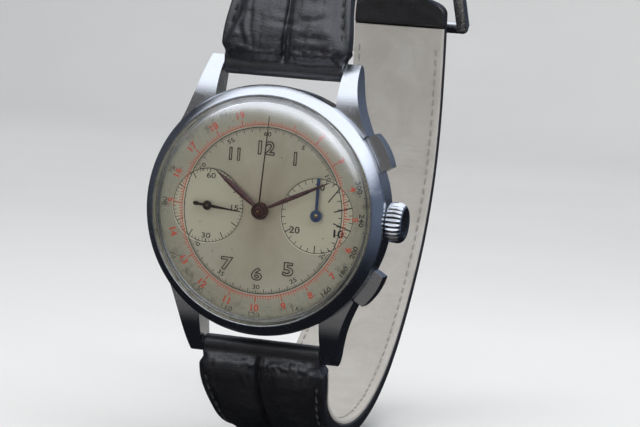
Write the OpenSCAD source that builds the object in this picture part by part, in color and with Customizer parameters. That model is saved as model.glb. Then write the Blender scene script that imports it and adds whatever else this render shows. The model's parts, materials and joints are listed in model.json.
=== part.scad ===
// Round two-register chronograph wristwatch on a closed leather strap.
// Every part is drawn in a flat frame: dial face on z = 0, twelve o'clock at +y,
// crown at +x, reader at +z.  place() then stands the watch upright: twelve
// o'clock is up (+Z), the dial looks along -Y and the case back lies on Y = 0.

/* [Case] */
// Radius of the bezel's outer edge
bezel_r = 18.8; // [18.7:0.1:19.1]
// Height of the bezel's inner lip over the dial
bezel_top = 1.35; // [1.2:0.05:1.5]
// Radius of the mid-case flank
case_r = 18.5; // [18.4:0.1:18.6]
// Height of the crystal's dome over the dial
crystal_top = 3.7; // [3.5:0.1:4.2]
// Depth of the case back's outer face behind the dial
back_z = 8.2; // [8.1:0.1:8.8]

/* [Lugs] */
// Gap between two lugs, where the strap goes in
lug_gap = 19.1; // [19:0.1:19.4]
// Distance of a lug tip from the dial centre
lug_tip = 22.7; // [22.6:0.1:23.4]
// Distance of a spring bar from the dial centre
pin_y = 21.3; // [21.2:0.1:21.4]

/* [Controls] */
// Radius of the winding crown over its ribs
crown_r = 3.05; // [2.8:0.05:3.15]
// Length of the winding crown
crown_len = 2.5; // [2.2:0.1:2.8]
// Number of ribs on the crown
crown_ribs = 26; // [20:1:32]
// Angle of each pusher above or below three o'clock
pusher_angle = 31; // [30:1:32]
// Width of a pusher cap
pusher_w = 5.5; // [5:0.1:5.7]
// Travel of a pusher
pusher_travel = 0.8; // [0.5:0.1:0.8]

/* [Dial and hands] */
// Distance of each small dial's centre from the dial centre
register_x = 8.6; // [8.6:0.1:8.7]
// Radius of each small dial
register_r = 5.7; // [5.4:0.05:5.9]
// Length of the hour hand
hour_len = 9.4; // [8:0.1:9.6]
// Length of the minute hand
minute_len = 12.2; // [11:0.1:12.6]
// Length of the centre chronograph hand
chrono_len = 14.2; // [13:0.1:14.5]

/* [Strap] */
// Strap width at the lugs
strap_w = 18.8; // [18.5:0.1:18.8]
// Strap width at the buckle
strap_end_w = 16.2; // [16:0.1:16.3]
// Thickness of the padded strap beside the lugs
strap_pad = 4.2; // [4:0.1:4.4]
// Thickness of the strap at its free ends
strap_thin = 2.5; // [2.4:0.1:2.6]

/* [Hidden] */
$fn = 48;
gap = 0.05;
bezel_low = -1.55;
opening_r = 17.1;
dial_r = 16.85;
dial_t = 0.4;
case_low = -6.2;
case_bore = 15.2;
plate_r = 14.2;
plate_top = -0.5;
plate_low = -2.6;
bridge_top = -4.4;
bridge_low = -5.0;
pin_z = -5.1;
bar_r = 0.7;
eye_r = 0.8;
loop_r = 1.6;
stem_z = -3.1;
crown_x = 18.85;
collar_r = 1.55;
collar_x = 18.1;
pusher_in = 18.75;
pusher_out = 20.8;
third = [-4.3, 2.55];
escape = [-9.31, 4.04];
pallet = [-6.4, 7.0];
balance = [-3.0, 9.6];
barrel = [2.5, -6.0];
crown_wheel_at = [7.95, -7.45];
minute_wheel_at = [0, -4.0];
column = [9.5, 7.0];
clutch = [-5.2, 0];
hammer_at = [11.3, -6.0];
click_at = [-2.6, -9.6];
foot_a = [4.6, -12.6];
foot_b = [-7.6, -10.4];
foot_c = [-13.1, -2.4];
foot_d = [12.6, 2.6];
foot_e = [3.4, 12.2];
post_a = [5.6, -2.2];
post_b = [5.4, 3.9];
fourth_at = [-register_x, 0];
recorder_at = [register_x, 0];

// Headings, in degrees, of equal steps along each strap half, from its spring bar
step_12 = 4.8;
turns_12 = [5, 14, 23, 32, 41, 50, 59, 68, 77, 86, 96, 105, 114, 123, 123, 123, 123];
step_6 = 4.9;
turns_6 = [16, 37, 55, 71, 82, 92, 101, 109, 117, 124, 131, 136, 141, 145, 150, 156, 162, 168,
           174, 179, 183, 185, 187, 188];

// ---------- helpers ----------

// Stands the flat frame upright with the case back's outer face on Y = 0.
module place() {
  rotate([90, 0, 0]) translate([0, 0, back_z]) children();
}

module at(p) {
  translate([p[0], p[1], 0]) children();
}

// Cylinder along z between two heights.
module post(r, low, high) {
  translate([0, 0, low]) cylinder(r = r, h = high - low);
}

// Ring along z between two heights.
module tube(outer, inner, low, high) {
  difference() {
    post(outer, low, high);
    post(inner, low - 1, high + 1);
  }
}

// Cylinder along x between two distances.
module rod(r, from, to) {
  translate([from, 0, 0]) rotate([0, 90, 0]) cylinder(r = r, h = to - from);
}

// Flat bar between two round eyes that are a little wider than it.
module bar(a, b, w, low, high) {
  run = sqrt(pow(b[0] - a[0], 2) + pow(b[1] - a[1], 2));
  waist = 0.84 * w;
  at(a) post(w / 2, low, high);
  at(b) post(w / 2, low, high);
  at(a) rotate([0, 0, atan2(b[1] - a[1], b[0] - a[0])])
    translate([0, -waist / 2, low]) cube([run, waist, high - low]);
}

// Outline of a toothed wheel.
function teeth(r, n, h) = [for (i = [0 : 2 * n - 1])
  let (a = 180 * i / n, q = i % 2 == 0 ? r : r - h) [q * cos(a), q * sin(a)]];

// Toothed wheel with four spokes around a bore.
module wheel(r, n, h, low, high, bore) {
  translate([0, 0, low]) difference() {
    linear_extrude(height = high - low) polygon(teeth(r, n, h));
    translate([0, 0, -1]) cylinder(r = bore, h = high - low + 2);
    if (r > 2.5)
      for (a = [45 : 90 : 315])
        rotate([0, 0, a]) translate([r * 0.52, 0, -1])
          cylinder(r = r * 0.24, h = high - low + 2);
  }
}

module pinion(r, n, low, high) {
  translate([0, 0, low]) linear_extrude(height = high - low) polygon(teeth(r, n, r * 0.25));
}

// Points of a flat spiral strip.
function spiral(r0, r1, turns, t) = let (n = turns * 18) concat(
  [for (i = [0 : n]) let (a = 20 * i, q = r0 + (r1 - r0) * i / n) [q * cos(a), q * sin(a)]],
  [for (i = [n : -1 : 0]) let (a = 20 * i, q = r0 + (r1 - r0) * i / n + t) [q * cos(a), q * sin(a)]]);

// ---------- case ----------

// Point of a curve from a to c that leans towards b.
function curve(a, b, c, t) = (1 - t) * (1 - t) * a + 2 * t * (1 - t) * b + t * t * c;

// One lug: side outline crossed with its outline seen from the front.
module lug() {
  side = concat([[11, -1.72], [15, -1.72]],
    [for (i = [0 : 12]) curve([15.2, -1.74], [19.8, -2.1], [lug_tip, -5.7], i / 12)],
    [for (i = [1 : 5]) curve([lug_tip, -5.7], [lug_tip, -7.15], [21.2, -7.15], i / 5)],
    [[19.4, -6.85], [17.6, -6.4], [16.2, case_low], [11, case_low]]);
  front = concat([[lug_gap / 2, 10], [lug_gap / 2, lug_tip + 1], [11.75, lug_tip + 1]],
    [for (i = [0 : 10]) curve([11.85, lug_tip], [12.4, 16.4], [15.4, 11], i / 10)],
    [[15.6, 10]]);
  intersection() {
    rotate([90, 0, 90]) linear_extrude(height = 17) polygon(side);
    translate([0, 0, -9]) linear_extrude(height = 9) polygon(front);
  }
}

module case_ring() {
  rotate_extrude($fn = 96) polygon([[case_bore, case_low], [case_r - 0.35, case_low],
    [case_r, case_low + 0.35], [case_r, bezel_low - 0.1], [17.8, bezel_low - 0.1],
    [17.8, -0.15], [16.95, -0.15], [16.95, -0.45], [case_bore, -0.45]]);
}

module mid_case() {
  color("silver") place() difference() {
    union() {
      case_ring();
      for (sx = [1, -1])
        for (sy = [1, -1])
          scale([sx, sy, 1]) lug();
    }
    post(case_bore, -9, 1);
    // spring-bar holes in the lugs
    for (sy = [1, -1])
      translate([0, sy * pin_y, pin_z]) rod(0.45, -10.9, 10.9);
    // crown tube bore and collar seat
    translate([0, 0, stem_z]) rod(1.02, 10, 20);
    translate([0, 0, stem_z]) rod(1.7, collar_x - 0.05, 22);
    // pusher bores and the flats the caps move against
    for (s = [1, -1]) rotate([0, 0, s * pusher_angle]) {
      translate([0, 0, stem_z]) rod(1.27, 10, 20);
      translate([pusher_in - pusher_travel - 0.05, -pusher_w / 2 - 0.25, stem_z - 1.5])
        cube([4, pusher_w + 0.5, 3]);
    }
  }
}

module bezel() {
  color("gainsboro") place() difference() {
    rotate_extrude($fn = 96) polygon([[17.85, bezel_low], [bezel_r - 0.08, bezel_low],
      [bezel_r, bezel_low + 0.08], [bezel_r, -0.45], [bezel_r - 0.1, -0.22],
      [bezel_r - 0.6, 0.45], [bezel_r - 1.15, bezel_top - 0.27], [17.4, bezel_top - 0.06],
      [17.25, bezel_top], [opening_r + 0.08, bezel_top - 0.06], [opening_r, bezel_top - 0.2],
      [opening_r, -0.05], [17.85, -0.05]]);
    translate([0, 0, stem_z]) rod(1.7, 17.4, 20);
  }
}

// Radius of the sphere a dome of given height over a given edge belongs to
function dome(edge, rise) = (edge * edge + rise * rise) / (2 * rise);

// Outline of the crystal: side wall, bevelled rim and dome.
module crystal() {
  edge = 16.35;
  rim = 2.15;
  skin = 1.0;
  ro = dome(edge, crystal_top - rim);
  ri = dome(edge - 0.5, crystal_top - rim - 0.05);
  color([0.85, 0.9, 0.92, 0.4]) place() rotate_extrude($fn = 96) polygon(concat(
    [[opening_r - 0.62, 0.08], [opening_r - 0.02, 0.08], [opening_r - 0.02, 1.45]],
    [for (i = [0 : 14]) let (x = edge * (1 - i / 14))
      [x, crystal_top - ro + sqrt(ro * ro - x * x)]],
    [for (i = [0 : 14]) let (x = (edge - 0.5) * i / 14)
      [x, crystal_top - skin - ri + sqrt(ri * ri - x * x)]]));
}

module case_back() {
  color("silver") place() rotate_extrude($fn = 96) polygon([[0, -back_z], [12.5, -back_z],
    [15.2, -back_z + 0.3], [17.2, -6.85], [17.35, -6.6], [17.35, case_low - 0.05],
    [16.45, case_low - 0.05], [16.45, -6.62], [15.5, -6.62], [15.5, case_low - 0.05],
    [15.12, case_low - 0.05], [15.12, -5.65], [14.4, -5.65], [14.4, -7.2], [0, -7.2]]);
}

module case_back_gasket() {
  color("black") place() tube(16.35, 15.6, -6.58, -6.23);
}

module movement_ring() {
  color("gold") place() difference() {
    tube(case_bore - 0.05, plate_r + 0.05, -5.5, -0.5);
    translate([0, 0, stem_z]) rod(1.3, 10, 18);
    for (s = [1, -1]) rotate([0, 0, s * pusher_angle])
      translate([0, 0, stem_z]) rod(1.3, 10, 18);
  }
}

// Knurled outline for the crown and its collar, drawn along x.
module knurl(r, n, h, from, to) {
  translate([from, 0, 0]) rotate([0, 90, 0]) linear_extrude(height = to - from)
    polygon([for (i = [0 : 4 * n - 1]) let (a = 90 * i / n, q = i % 4 < 2 ? r : r - h)
      [q * cos(a), q * sin(a)]]);
}

module crown_tube() {
  color("silver") place() translate([0, 0, stem_z]) difference() {
    union() {
      rod(1.0, 15.25, collar_x + 0.2);
      knurl(collar_r, 18, 0.16, collar_x, collar_x + 0.65);
    }
    rod(0.66, 15, 20);
  }
}

module pusher_tubes() {
  color("silver") place() for (s = [1, -1]) rotate([0, 0, s * pusher_angle])
    translate([0, 0, stem_z]) difference() {
      rod(1.25, 15.3, pusher_in - pusher_travel - 0.08);
      rod(0.76, 15, 19);
    }
}

module spring_bars() {
  color("gray") place() for (sy = [1, -1]) translate([0, sy * pin_y, pin_z]) {
    rod(bar_r, -lug_gap / 2 + 0.15, lug_gap / 2 - 0.15);
    rod(0.4, -10.7, 10.7);
  }
}

// ---------- dial and hands ----------

module dial() {
  color("wheat") place() difference() {
    union() {
      post(dial_r, -dial_t, 0);
      for (p = [[-6, 11.2], [6, -11.2]]) at(p) post(0.4, -1.1, -dial_t + 0.1);
    }
    post(0.95, -1, 1);
    for (p = [fourth_at, recorder_at]) at(p) {
      post(0.32, -1, 1);
      post(register_r, -0.1, 1);
    }
  }
}

// Leaf-shaped hand outline pointing to +y.
function leaf(len, w, neck) = [[-neck, 0.3], [-w * 0.62, len * 0.2], [-w, len * 0.42],
  [-w * 0.85, len * 0.66], [-w * 0.42, len * 0.88], [-0.06, len], [0.06, len],
  [w * 0.42, len * 0.88], [w * 0.85, len * 0.66], [w, len * 0.42], [w * 0.62, len * 0.2],
  [neck, 0.3]];

module hand(shape, hub, bore, low, high) {
  difference() {
    union() {
      translate([0, 0, low]) linear_extrude(height = high - low) polygon(shape);
      post(hub, low - 0.03, high + 0.03);
    }
    post(bore, low - 2, high + 2);
  }
}

module hour_hand() {
  color("brown") place() rotate([0, 0, 54])
    hand(leaf(hour_len, 0.42, 0.22), 1.3, 0.82, 0.72, 0.86);
}

module minute_hand() {
  color("brown") place() rotate([0, 0, -64])
    hand(leaf(minute_len, 0.4, 0.2), 1.25, 0.58, 1.14, 1.28);
}

module chronograph_hand() {
  color("black") place() rotate([0, 0, -2.5]) difference() {
    union() {
      hand([[-0.13, 0], [0.13, 0], [0.04, chrono_len], [-0.04, chrono_len]], 1.08, 0.16, 1.56, 1.66);
      post(1.08, 1.5, 1.78);
      post(0.42, 1.7, 2.0);
    }
    post(0.16, 1, 2.5);
  }
}

module small_seconds_hand() {
  color("black") place() at(fourth_at) rotate([0, 0, -95]) difference() {
    union() {
      hand([[-0.26, 0], [-0.18, -1.3], [-0.32, -1.7], [-0.3, -2.1], [0, -2.3], [0.3, -2.1],
            [0.32, -1.7], [0.18, -1.3], [0.26, 0], [0.06, 5.3], [-0.06, 5.3]], 0.7, 0.16,
            0.3, 0.42);
      post(0.28, 0.05, 0.35);
    }
    post(0.16, 0, 1);
  }
}

module minute_recorder_hand() {
  color("steelblue") place() at(recorder_at) difference() {
    union() {
      hand([[-0.19, 0], [0.19, 0], [0.25, 5.55], [0, 5.7], [-0.25, 5.55]], 0.88, 0.16, 0.3, 0.42);
      post(0.28, 0.05, 0.35);
    }
    post(0.16, 0, 1);
  }
}

// ---------- movement: plates ----------

module main_plate() {
  color("gold") place() difference() {
    union() {
      difference() {
        post(plate_r, plate_low, plate_top);
        // room for the motion works
        post(3.4, -1.75, 0);
        at(minute_wheel_at) post(3.45, -1.75, 0);
      }
      at(minute_wheel_at) post(0.32, -1.8, -0.75);
    }
    post(0.4, -4, 0);
    at(recorder_at) post(0.2, -4, 0);
    at(fourth_at) post(0.2, -4, 0);
    for (p = [third, escape, pallet, balance]) at(p) post(0.6, -3, -1.9);
    for (p = [[-6, 11.2], [6, -11.2]]) at(p) post(0.45, -1.3, 0);
    at(barrel) post(0.55, -3, -1.6);
    // channel for the winding stem
    translate([9.3, -1.35, -3]) cube([6, 2.7, 1.2]);
  }
}

// Feet that join a bridge to the plate.
module feet(points, low) {
  for (p = points) at(p) post(0.85, low, plate_low - 0.02);
}

module barrel_bridge() {
  color("gold") place() difference() {
    union() {
      intersection() {
        post(plate_r - 0.1, bridge_low, bridge_top);
        translate([0, 0, bridge_low]) linear_extrude(height = 0.6)
          polygon([[-13.5, -15], [15, -15], [15, -3.3], [3.2, -3.3], [-3.0, -4.6], [-13.5, -5.4]]);
      }
      feet([foot_a, foot_b], bridge_top - 0.1);
      at(hammer_at) post(0.5, -6.35, bridge_low + 0.1);
      at(crown_wheel_at) post(0.5, -5.5, bridge_low + 0.1);
      at(click_at) post(0.35, -5.5, bridge_low + 0.1);
    }
    at(barrel) post(0.75, -6, -4);
    for (p = [foot_a, foot_b]) at(p) post(0.42, -6, -3.2);
  }
}

module train_bridge() {
  color("gold") place() difference() {
    union() {
      intersection() {
        post(plate_r - 0.1, bridge_low, bridge_top);
        translate([0, 0, bridge_low]) linear_extrude(height = 0.6)
          polygon([[-15, -5.3], [-3.1, -4.5], [3.1, -3.2], [15, -3.2], [15, 9.5], [4.0, 9.5],
                   [2.5, 5.6], [-15, 5.6]]);
      }
      feet([foot_c, foot_d], bridge_top - 0.1);
      for (p = [post_a, post_b]) at(p) post(0.6, -6.38, bridge_low + 0.1);
      at(column) post(0.5, -6.05, bridge_low + 0.1);
    }
    post(0.4, -6, -4);
    at(recorder_at) post(0.2, -6, -4);
    at(fourth_at) post(0.6, -6, -4);
    at(third) post(0.6, -6, -4);
    at(escape) post(0.6, -6, -4);
    at(balance) post(4.6, -6, -4);
    for (p = [foot_c, foot_d]) at(p) post(0.42, -6, -3.2);
  }
}

module balance_cock() {
  color("gold") place() difference() {
    union() {
      translate([0, 0, -5.85]) linear_extrude(height = 0.6)
        polygon([[-4.1, 9.3], [-3.6, 8.6], [-2.5, 8.5], [1.8, 10.1], [4.5, 11.3], [4.7, 12.4],
                 [4.0, 13.3], [2.8, 13.4], [-2.4, 10.9], [-3.7, 10.6]]);
      at(foot_e) post(1.0, -5.4, plate_low - 0.02);
    }
    at(balance) post(0.6, -7, -5);
    at(foot_e) post(0.42, -7, -3.6);
  }
}

module chronograph_bridge() {
  color("gold") place() translate([0, 0, -6.9]) difference() {
    linear_extrude(height = 0.48)
      polygon([[-0.9, -0.5], [0, -0.95], [5.2, -3.1], [6.2, -3.0], [9.3, -0.7], [9.5, 0.4],
               [8.6, 0.9], [6.6, -0.5], [6.3, 3.6], [5.9, 4.7], [4.9, 4.7], [4.6, 3.6],
               [4.9, -1.3], [0.3, 0.9], [-0.7, 0.6]]);
    translate([0, 0, -1]) cylinder(r = 0.2, h = 3);
    at(recorder_at) translate([0, 0, -1]) cylinder(r = 0.2, h = 3);
  }
}

// A ring jewel set in its plate.
module jewel(p, low, high) {
  at(p) tube(0.58, 0.12, low, high);
}

module jewels() {
  color("crimson") place() {
    for (p = [third, escape, pallet, balance]) jewel(p, -2.58, -2.1);
    for (p = [third, escape]) jewel(p, -4.9, -4.45);
    at(fourth_at) tube(0.58, 0.17, -4.9, -4.45);
    jewel(balance, -5.8, -5.3);
  }
}

// Slotted screw seated at a point, its head below a given height.
module screw(p, seat, shank) {
  at(p) difference() {
    union() {
      post(0.75, seat - 0.35, seat - 0.01);
      post(0.38, seat - 0.1, seat + shank);
    }
    translate([-1, -0.1, seat - 0.45]) cube([2, 0.2, 0.22]);
  }
}

module movement_screws() {
  color("silver") place() {
    screw(foot_a, bridge_low, 1.4);
    screw(foot_b, bridge_low, 1.4);
    screw(foot_c, bridge_low, 1.4);
    screw(foot_d, bridge_low, 1.4);
    screw(foot_e, -5.85, 1.8);
  }
}

// ---------- movement: wheels ----------

module centre_wheel() {
  color("gold") place() {
    wheel(4.42, 64, 0.22, -2.95, -2.75, 0.3);
    difference() {
      union() {
        post(0.34, -4.9, 1.05);
        pinion(1.08, 12, -3.98, -3.68);
        post(0.5, -3.1, -2.7);
      }
      post(0.2, -5, 2);
    }
  }
}

module cannon_pinion() {
  color("silver") place() difference() {
    union() {
      post(0.56, -1.6, 1.42);
      pinion(0.85, 12, -1.6, -1.25);
    }
    post(0.36, -3, 3);
  }
}

module hour_wheel() {
  color("gold") place() difference() {
    union() {
      wheel(3.0, 48, 0.2, -1.1, -0.9, 0.7);
      post(0.8, -1.1, 1.0);
    }
    post(0.6, -3, 3);
  }
}

module minute_wheel() {
  color("gold") place() at(minute_wheel_at) difference() {
    union() {
      wheel(3.05, 48, 0.2, -1.6, -1.35, 0.5);
      post(0.7, -1.6, -0.9);
      pinion(0.92, 12, -1.15, -0.9);
    }
    post(0.36, -3, 3);
  }
}

module mainspring_barrel() {
  color("gold") place() at(barrel) {
    difference() {
      union() {
        post(4.6, -4.35, -3.1);
        translate([0, 0, -3.95]) linear_extrude(height = 0.25) polygon(teeth(5.35, 72, 0.22));
      }
      post(4.35, -4.2, -3.3);
      post(0.85, -5, -2);
    }
  }
}

module mainspring() {
  color("steelblue") place() at(barrel) translate([0, 0, -4.12])
    linear_extrude(height = 0.75) polygon(spiral(1.3, 4.0, 5, 0.14));
}

module barrel_arbor() {
  color("silver") place() at(barrel) {
    post(1.15, -4.15, -3.35);
    post(0.8, -4.4, -3.05);
    post(0.5, -5.5, -1.7);
  }
}

module ratchet_wheel() {
  color("silver") place() at(barrel)
    tube(3.3, 0.55, -5.45, -5.1);
  color("silver") place() at(barrel) translate([0, 0, -5.45]) difference() {
    linear_extrude(height = 0.35) polygon(teeth(3.6, 42, 0.26));
    translate([0, 0, -1]) cylinder(r = 3.2, h = 3);
  }
}

module crown_wheel() {
  color("silver") place() at(crown_wheel_at) translate([0, 0, -5.45]) difference() {
    linear_extrude(height = 0.35) polygon(teeth(2.0, 24, 0.24));
    translate([0, 0, -1]) cylinder(r = 0.55, h = 3);
  }
}

module click() {
  color("silver") place() difference() {
    union() {
      bar(click_at, [-1.15, -7.9], 0.55, -5.45, -5.1);
      at(click_at) post(0.65, -5.45, -5.1);
    }
    at(click_at) post(0.4, -6, -5);
  }
}

module third_wheel() {
  color("gold") place() at(third) {
    wheel(4.36, 60, 0.2, -3.45, -3.25, 0.15);
    pinion(0.53, 8, -3.0, -2.7);
    post(0.2, -4.4, -2.62);
    post(0.1, -4.85, -2.15);
  }
}

module fourth_wheel() {
  color("gold") place() at(fourth_at) {
    wheel(3.6, 56, 0.2, -4.25, -4.05, 0.12);
    pinion(0.57, 8, -3.5, -3.2);
    post(0.3, -4.38, -3.1);
    post(0.14, -5.6, 0.6);
    wheel(2.2, 40, 0.16, -5.75, -5.55, 0.1);
  }
}

module escape_wheel() {
  color("silver") place() at(escape) {
    translate([0, 0, -2.98]) difference() {
      linear_extrude(height = 0.15) polygon([for (i = [0 : 29])
        let (a = 12 * i + (i % 2 == 0 ? 0 : 8), q = i % 2 == 0 ? 2.1 : 1.55)
          [q * cos(a), q * sin(a)]]);
      for (a = [0 : 90 : 270]) rotate([0, 0, a]) translate([0.95, 0, -1]) cylinder(r = 0.36, h = 3);
    }
    pinion(0.46, 8, -4.3, -4.0);
    post(0.2, -4.4, -2.65);
    post(0.1, -4.85, -2.15);
  }
}

// Anchor with two pallets and a forked tail.
module pallet_fork() {
  to_wheel = atan2(escape[1] - pallet[1], escape[0] - pallet[0]);
  to_balance = atan2(balance[1] - pallet[1], balance[0] - pallet[0]);
  color("silver") place() at(pallet) {
    translate([0, 0, -3.02]) linear_extrude(height = 0.16) rotate([0, 0, to_wheel])
      polygon([[-0.3, 0], [0.8, 1.75], [1.75, 1.75], [1.75, 1.4], [1.05, 1.4], [0.3, 0],
               [1.05, -1.4], [1.75, -1.4], [1.75, -1.75], [0.8, -1.75]]);
    translate([0, 0, -2.98]) linear_extrude(height = 0.16) rotate([0, 0, to_balance])
      polygon([[-0.2, -0.18], [3.0, -0.15], [3.1, -0.45], [3.7, -0.45], [3.7, -0.25],
               [3.3, -0.2], [3.3, 0.2], [3.7, 0.25], [3.7, 0.45], [3.1, 0.45], [3.0, 0.15],
               [-0.2, 0.18]]);
    post(0.25, -3.25, -2.65);
    post(0.1, -3.3, -2.15);
  }
}

module balance_wheel() {
  color("gold") place() at(balance) {
    tube(4.05, 3.6, -4.85, -4.5);
    translate([-3.8, -0.25, -4.8]) cube([7.6, 0.5, 0.25]);
    post(0.55, -4.85, -4.5);
    post(0.2, -5.2, -2.65);
    post(0.1, -5.75, -2.15);
    // roller that the fork drives
    post(0.35, -3.35, -3.1);
  }
}

module hairspring() {
  color("steelblue") place() at(balance) translate([0, 0, -5.08]) {
    linear_extrude(height = 0.14) polygon(spiral(0.62, 2.4, 5, 0.06));
    difference() {
      cylinder(r = 0.66, h = 0.14);
      translate([0, 0, -1]) cylinder(r = 0.23, h = 3);
    }
  }
}

// ---------- movement: chronograph ----------

module chronograph_runner() {
  color("gold") place() {
    wheel(3.95, 90, 0.14, -5.75, -5.55, 0.1);
    post(0.14, -6.85, 1.95);
    post(0.7, -6.25, -5.85);
    post(0.3, -6.3, -5.5);
  }
}

module minute_recorder_wheel() {
  color("gold") place() at(recorder_at) {
    wheel(2.9, 60, 0.14, -5.75, -5.55, 0.1);
    post(0.14, -6.85, 0.6);
    post(0.6, -6.25, -5.85);
    post(0.3, -6.3, -5.5);
  }
}

module column_wheel() {
  color("silver") place() at(column) difference() {
    union() {
      translate([0, 0, -5.35]) linear_extrude(height = 0.25) polygon(teeth(1.9, 12, 0.35));
      for (a = [0 : 60 : 300]) rotate([0, 0, a]) translate([1.15, 0, 0]) post(0.3, -6.0, -5.2);
      post(0.9, -5.6, -5.2);
    }
    post(0.55, -7, -5);
  }
}

module coupling_lever() {
  color("silver") place() difference() {
    union() {
      bar([-7.4, -8.0], clutch, 0.9, -6.25, -5.9);
      at([-7.4, -8.0]) post(0.7, -6.25, -5.06);
      at(clutch) post(0.2, -6.0, -5.5);
    }
    at([-7.4, -8.0]) post(0.3, -7, -5);
  }
}

module coupling_wheel() {
  color("gold") place() at(clutch) difference() {
    translate([0, 0, -5.75]) linear_extrude(height = 0.2) polygon(teeth(1.08, 20, 0.14));
    post(0.24, -7, -5);
  }
}

module reset_hammer() {
  color("silver") place() difference() {
    union() {
      translate([0, 0, -6.3]) linear_extrude(height = 0.35)
        polygon([[12.0, -6.4], [11.0, -6.75], [2.6, -3.7], [1.0, -1.75], [1.5, -1.35],
                 [3.2, -2.9], [8.6, -4.9], [9.2, -2.0], [8.9, -1.75], [10.1, -1.45],
                 [10.3, -4.9]]);
      at(hammer_at) post(0.95, -6.34, -5.5);
    }
    at(hammer_at) post(0.55, -7, -5);
  }
}

// ---------- controls ----------

// Fork that holds the groove of the stem and travels with it.
module setting_lever() {
  color("silver") place() difference() {
    translate([12.4, -1.2, stem_z - 1.1]) cube([0.5, 2.4, 2.2]);
    translate([0, 0, stem_z]) rod(0.45, 12, 14);
  }
}

module winding_stem() {
  color("silver") place() translate([0, 0, stem_z]) {
    rod(0.6, 10.0, 12.3);
    rod(0.38, 12.2, 13.1);
    rod(0.6, 13.0, 19.4);
    knurl(1.05, 14, 0.2, 10.2, 11.4);
  }
}

module crown() {
  color("silver") place() translate([0, 0, stem_z]) difference() {
    intersection() {
      knurl(crown_r, crown_ribs, 0.2, crown_x, crown_x + crown_len);
      rotate([90, 0, 90]) rotate_extrude($fn = 72) polygon([[0, crown_x], [crown_r - 0.3, crown_x],
        [crown_r + 0.05, crown_x + 0.35], [crown_r + 0.05, crown_x + crown_len - 0.6],
        [crown_r - 0.45, crown_x + crown_len], [0, crown_x + crown_len]]);
    }
    rod(0.62, crown_x - 1, crown_x + 0.75);
  }
}

// Pusher cap with a curved outer face, on its stem.
module pusher() {
  translate([0, 0, stem_z]) {
    intersection() {
      translate([pusher_in, -pusher_w / 2, -1.3]) cube([3, pusher_w, 2.6]);
      translate([pusher_out - 9.65, 0, -2]) cylinder(r = 9.65, h = 4, $fn = 96);
    }
    rod(0.7, 15.1, pusher_in + 0.5);
  }
}

module start_pusher() {
  color("silver") place() rotate([0, 0, pusher_angle]) pusher();
}

module reset_pusher() {
  color("silver") place() rotate([0, 0, -pusher_angle]) pusher();
}

// ---------- strap ----------

// Points of a strap centre line in the plane of the loop, as [height, depth].
function walk(turns, size, side, i) = i == 0 ? [side * pin_y, pin_z] :
  walk(turns, size, side, i - 1) + size * [side * cos(turns[i - 1]), -sin(turns[i - 1])];

// Outward normal of the strap at a point of its centre line.
function facing(turns, side, i) = let (
  a = i == 0 ? turns[0] : i >= len(turns) ? turns[len(turns) - 1] : (turns[i - 1] + turns[i]) / 2)
  [side * sin(a), cos(a)];

// Outline between two offsets of the centre line, from one point to another.
function band(turns, size, side, from, to, low, high) = concat(
  [for (i = [from : to]) walk(turns, size, side, i) + high[i] * facing(turns, side, i)],
  [for (i = [to : -1 : from]) walk(turns, size, side, i) + low[i] * facing(turns, side, i)]);

// Gives the loop outline its width, which narrows towards the buckle.
module ribbon(outline) {
  intersection() {
    rotate([90, 0, 90]) translate([0, 0, -15]) linear_extrude(height = 30) polygon(outline);
    rotate([90, 0, 0]) translate([0, 0, -80]) linear_extrude(height = 160)
      polygon([[-strap_w / 2, 5], [strap_w / 2, 5], [strap_w / 2, pin_z],
               [strap_end_w / 2, -58], [strap_end_w / 2, -90], [-strap_end_w / 2, -90],
               [-strap_end_w / 2, -58], [-strap_w / 2, pin_z]]);
  }
}

n_12 = len(turns_12);
n_6 = len(turns_6);
end_12 = walk(turns_12, step_12, 1, n_12);

// Half thickness along each strap half: full beside the lugs, thin further on.
function half(i, n) = i == 0 ? 1.5 : max(strap_thin / 2,
  strap_pad / 2 - (strap_pad - strap_thin) / 2 * (i - 1) / (n * 0.55));
outer_12 = [for (i = [0 : n_12]) half(i, n_12)];
outer_6 = [for (i = [0 : n_6]) half(i, n_6)];
inner_12 = [for (i = [0 : n_12]) i > 12 ? -outer_12[i] : -outer_12[i] + 0.85];
inner_6 = [for (i = [0 : n_6]) i == n_6 ? -outer_6[i] : -outer_6[i] + 0.85];
lining_top_12 = [for (i = [0 : n_12]) -outer_12[i] + 0.8];
lining_top_6 = [for (i = [0 : n_6]) -outer_6[i] + 0.8];
skin_12 = [for (i = [0 : n_12]) -outer_12[i]];
skin_6 = [for (i = [0 : n_6]) -outer_6[i]];

// Cylinder across the strap at a point of the loop plane.
module across(p, r, w) {
  translate([0, p[0], p[1]]) rod(r, -w / 2, w / 2);
}

module strap_12_leather() {
  color("black") place() difference() {
    union() {
      ribbon(band(turns_12, step_12, 1, 0, n_12, inner_12, outer_12));
      across([pin_y, pin_z], loop_r, strap_w);
      across(end_12, 1.7, strap_end_w);
    }
    across([pin_y, pin_z], eye_r, 30);
    across(end_12, 0.7, 30);
    // slot for the tongue
    translate([-1.4, end_12[0], end_12[1]]) rotate([-33, 0, 0])
      translate([0, -2.2, -6]) cube([2.8, 9, 9.2]);
  }
}

module strap_12_lining() {
  color("bisque") place() ribbon(band(turns_12, step_12, 1, 1, 12, skin_12, lining_top_12));
}

module strap_6_leather() {
  color("black") place() difference() {
    union() {
      ribbon(band(turns_6, step_6, -1, 0, n_6, inner_6, outer_6));
      across([-pin_y, pin_z], loop_r, strap_w);
    }
    across([-pin_y, pin_z], eye_r, 30);
    for (i = [13 : 19]) tongue_hole(i);
  }
}

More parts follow.
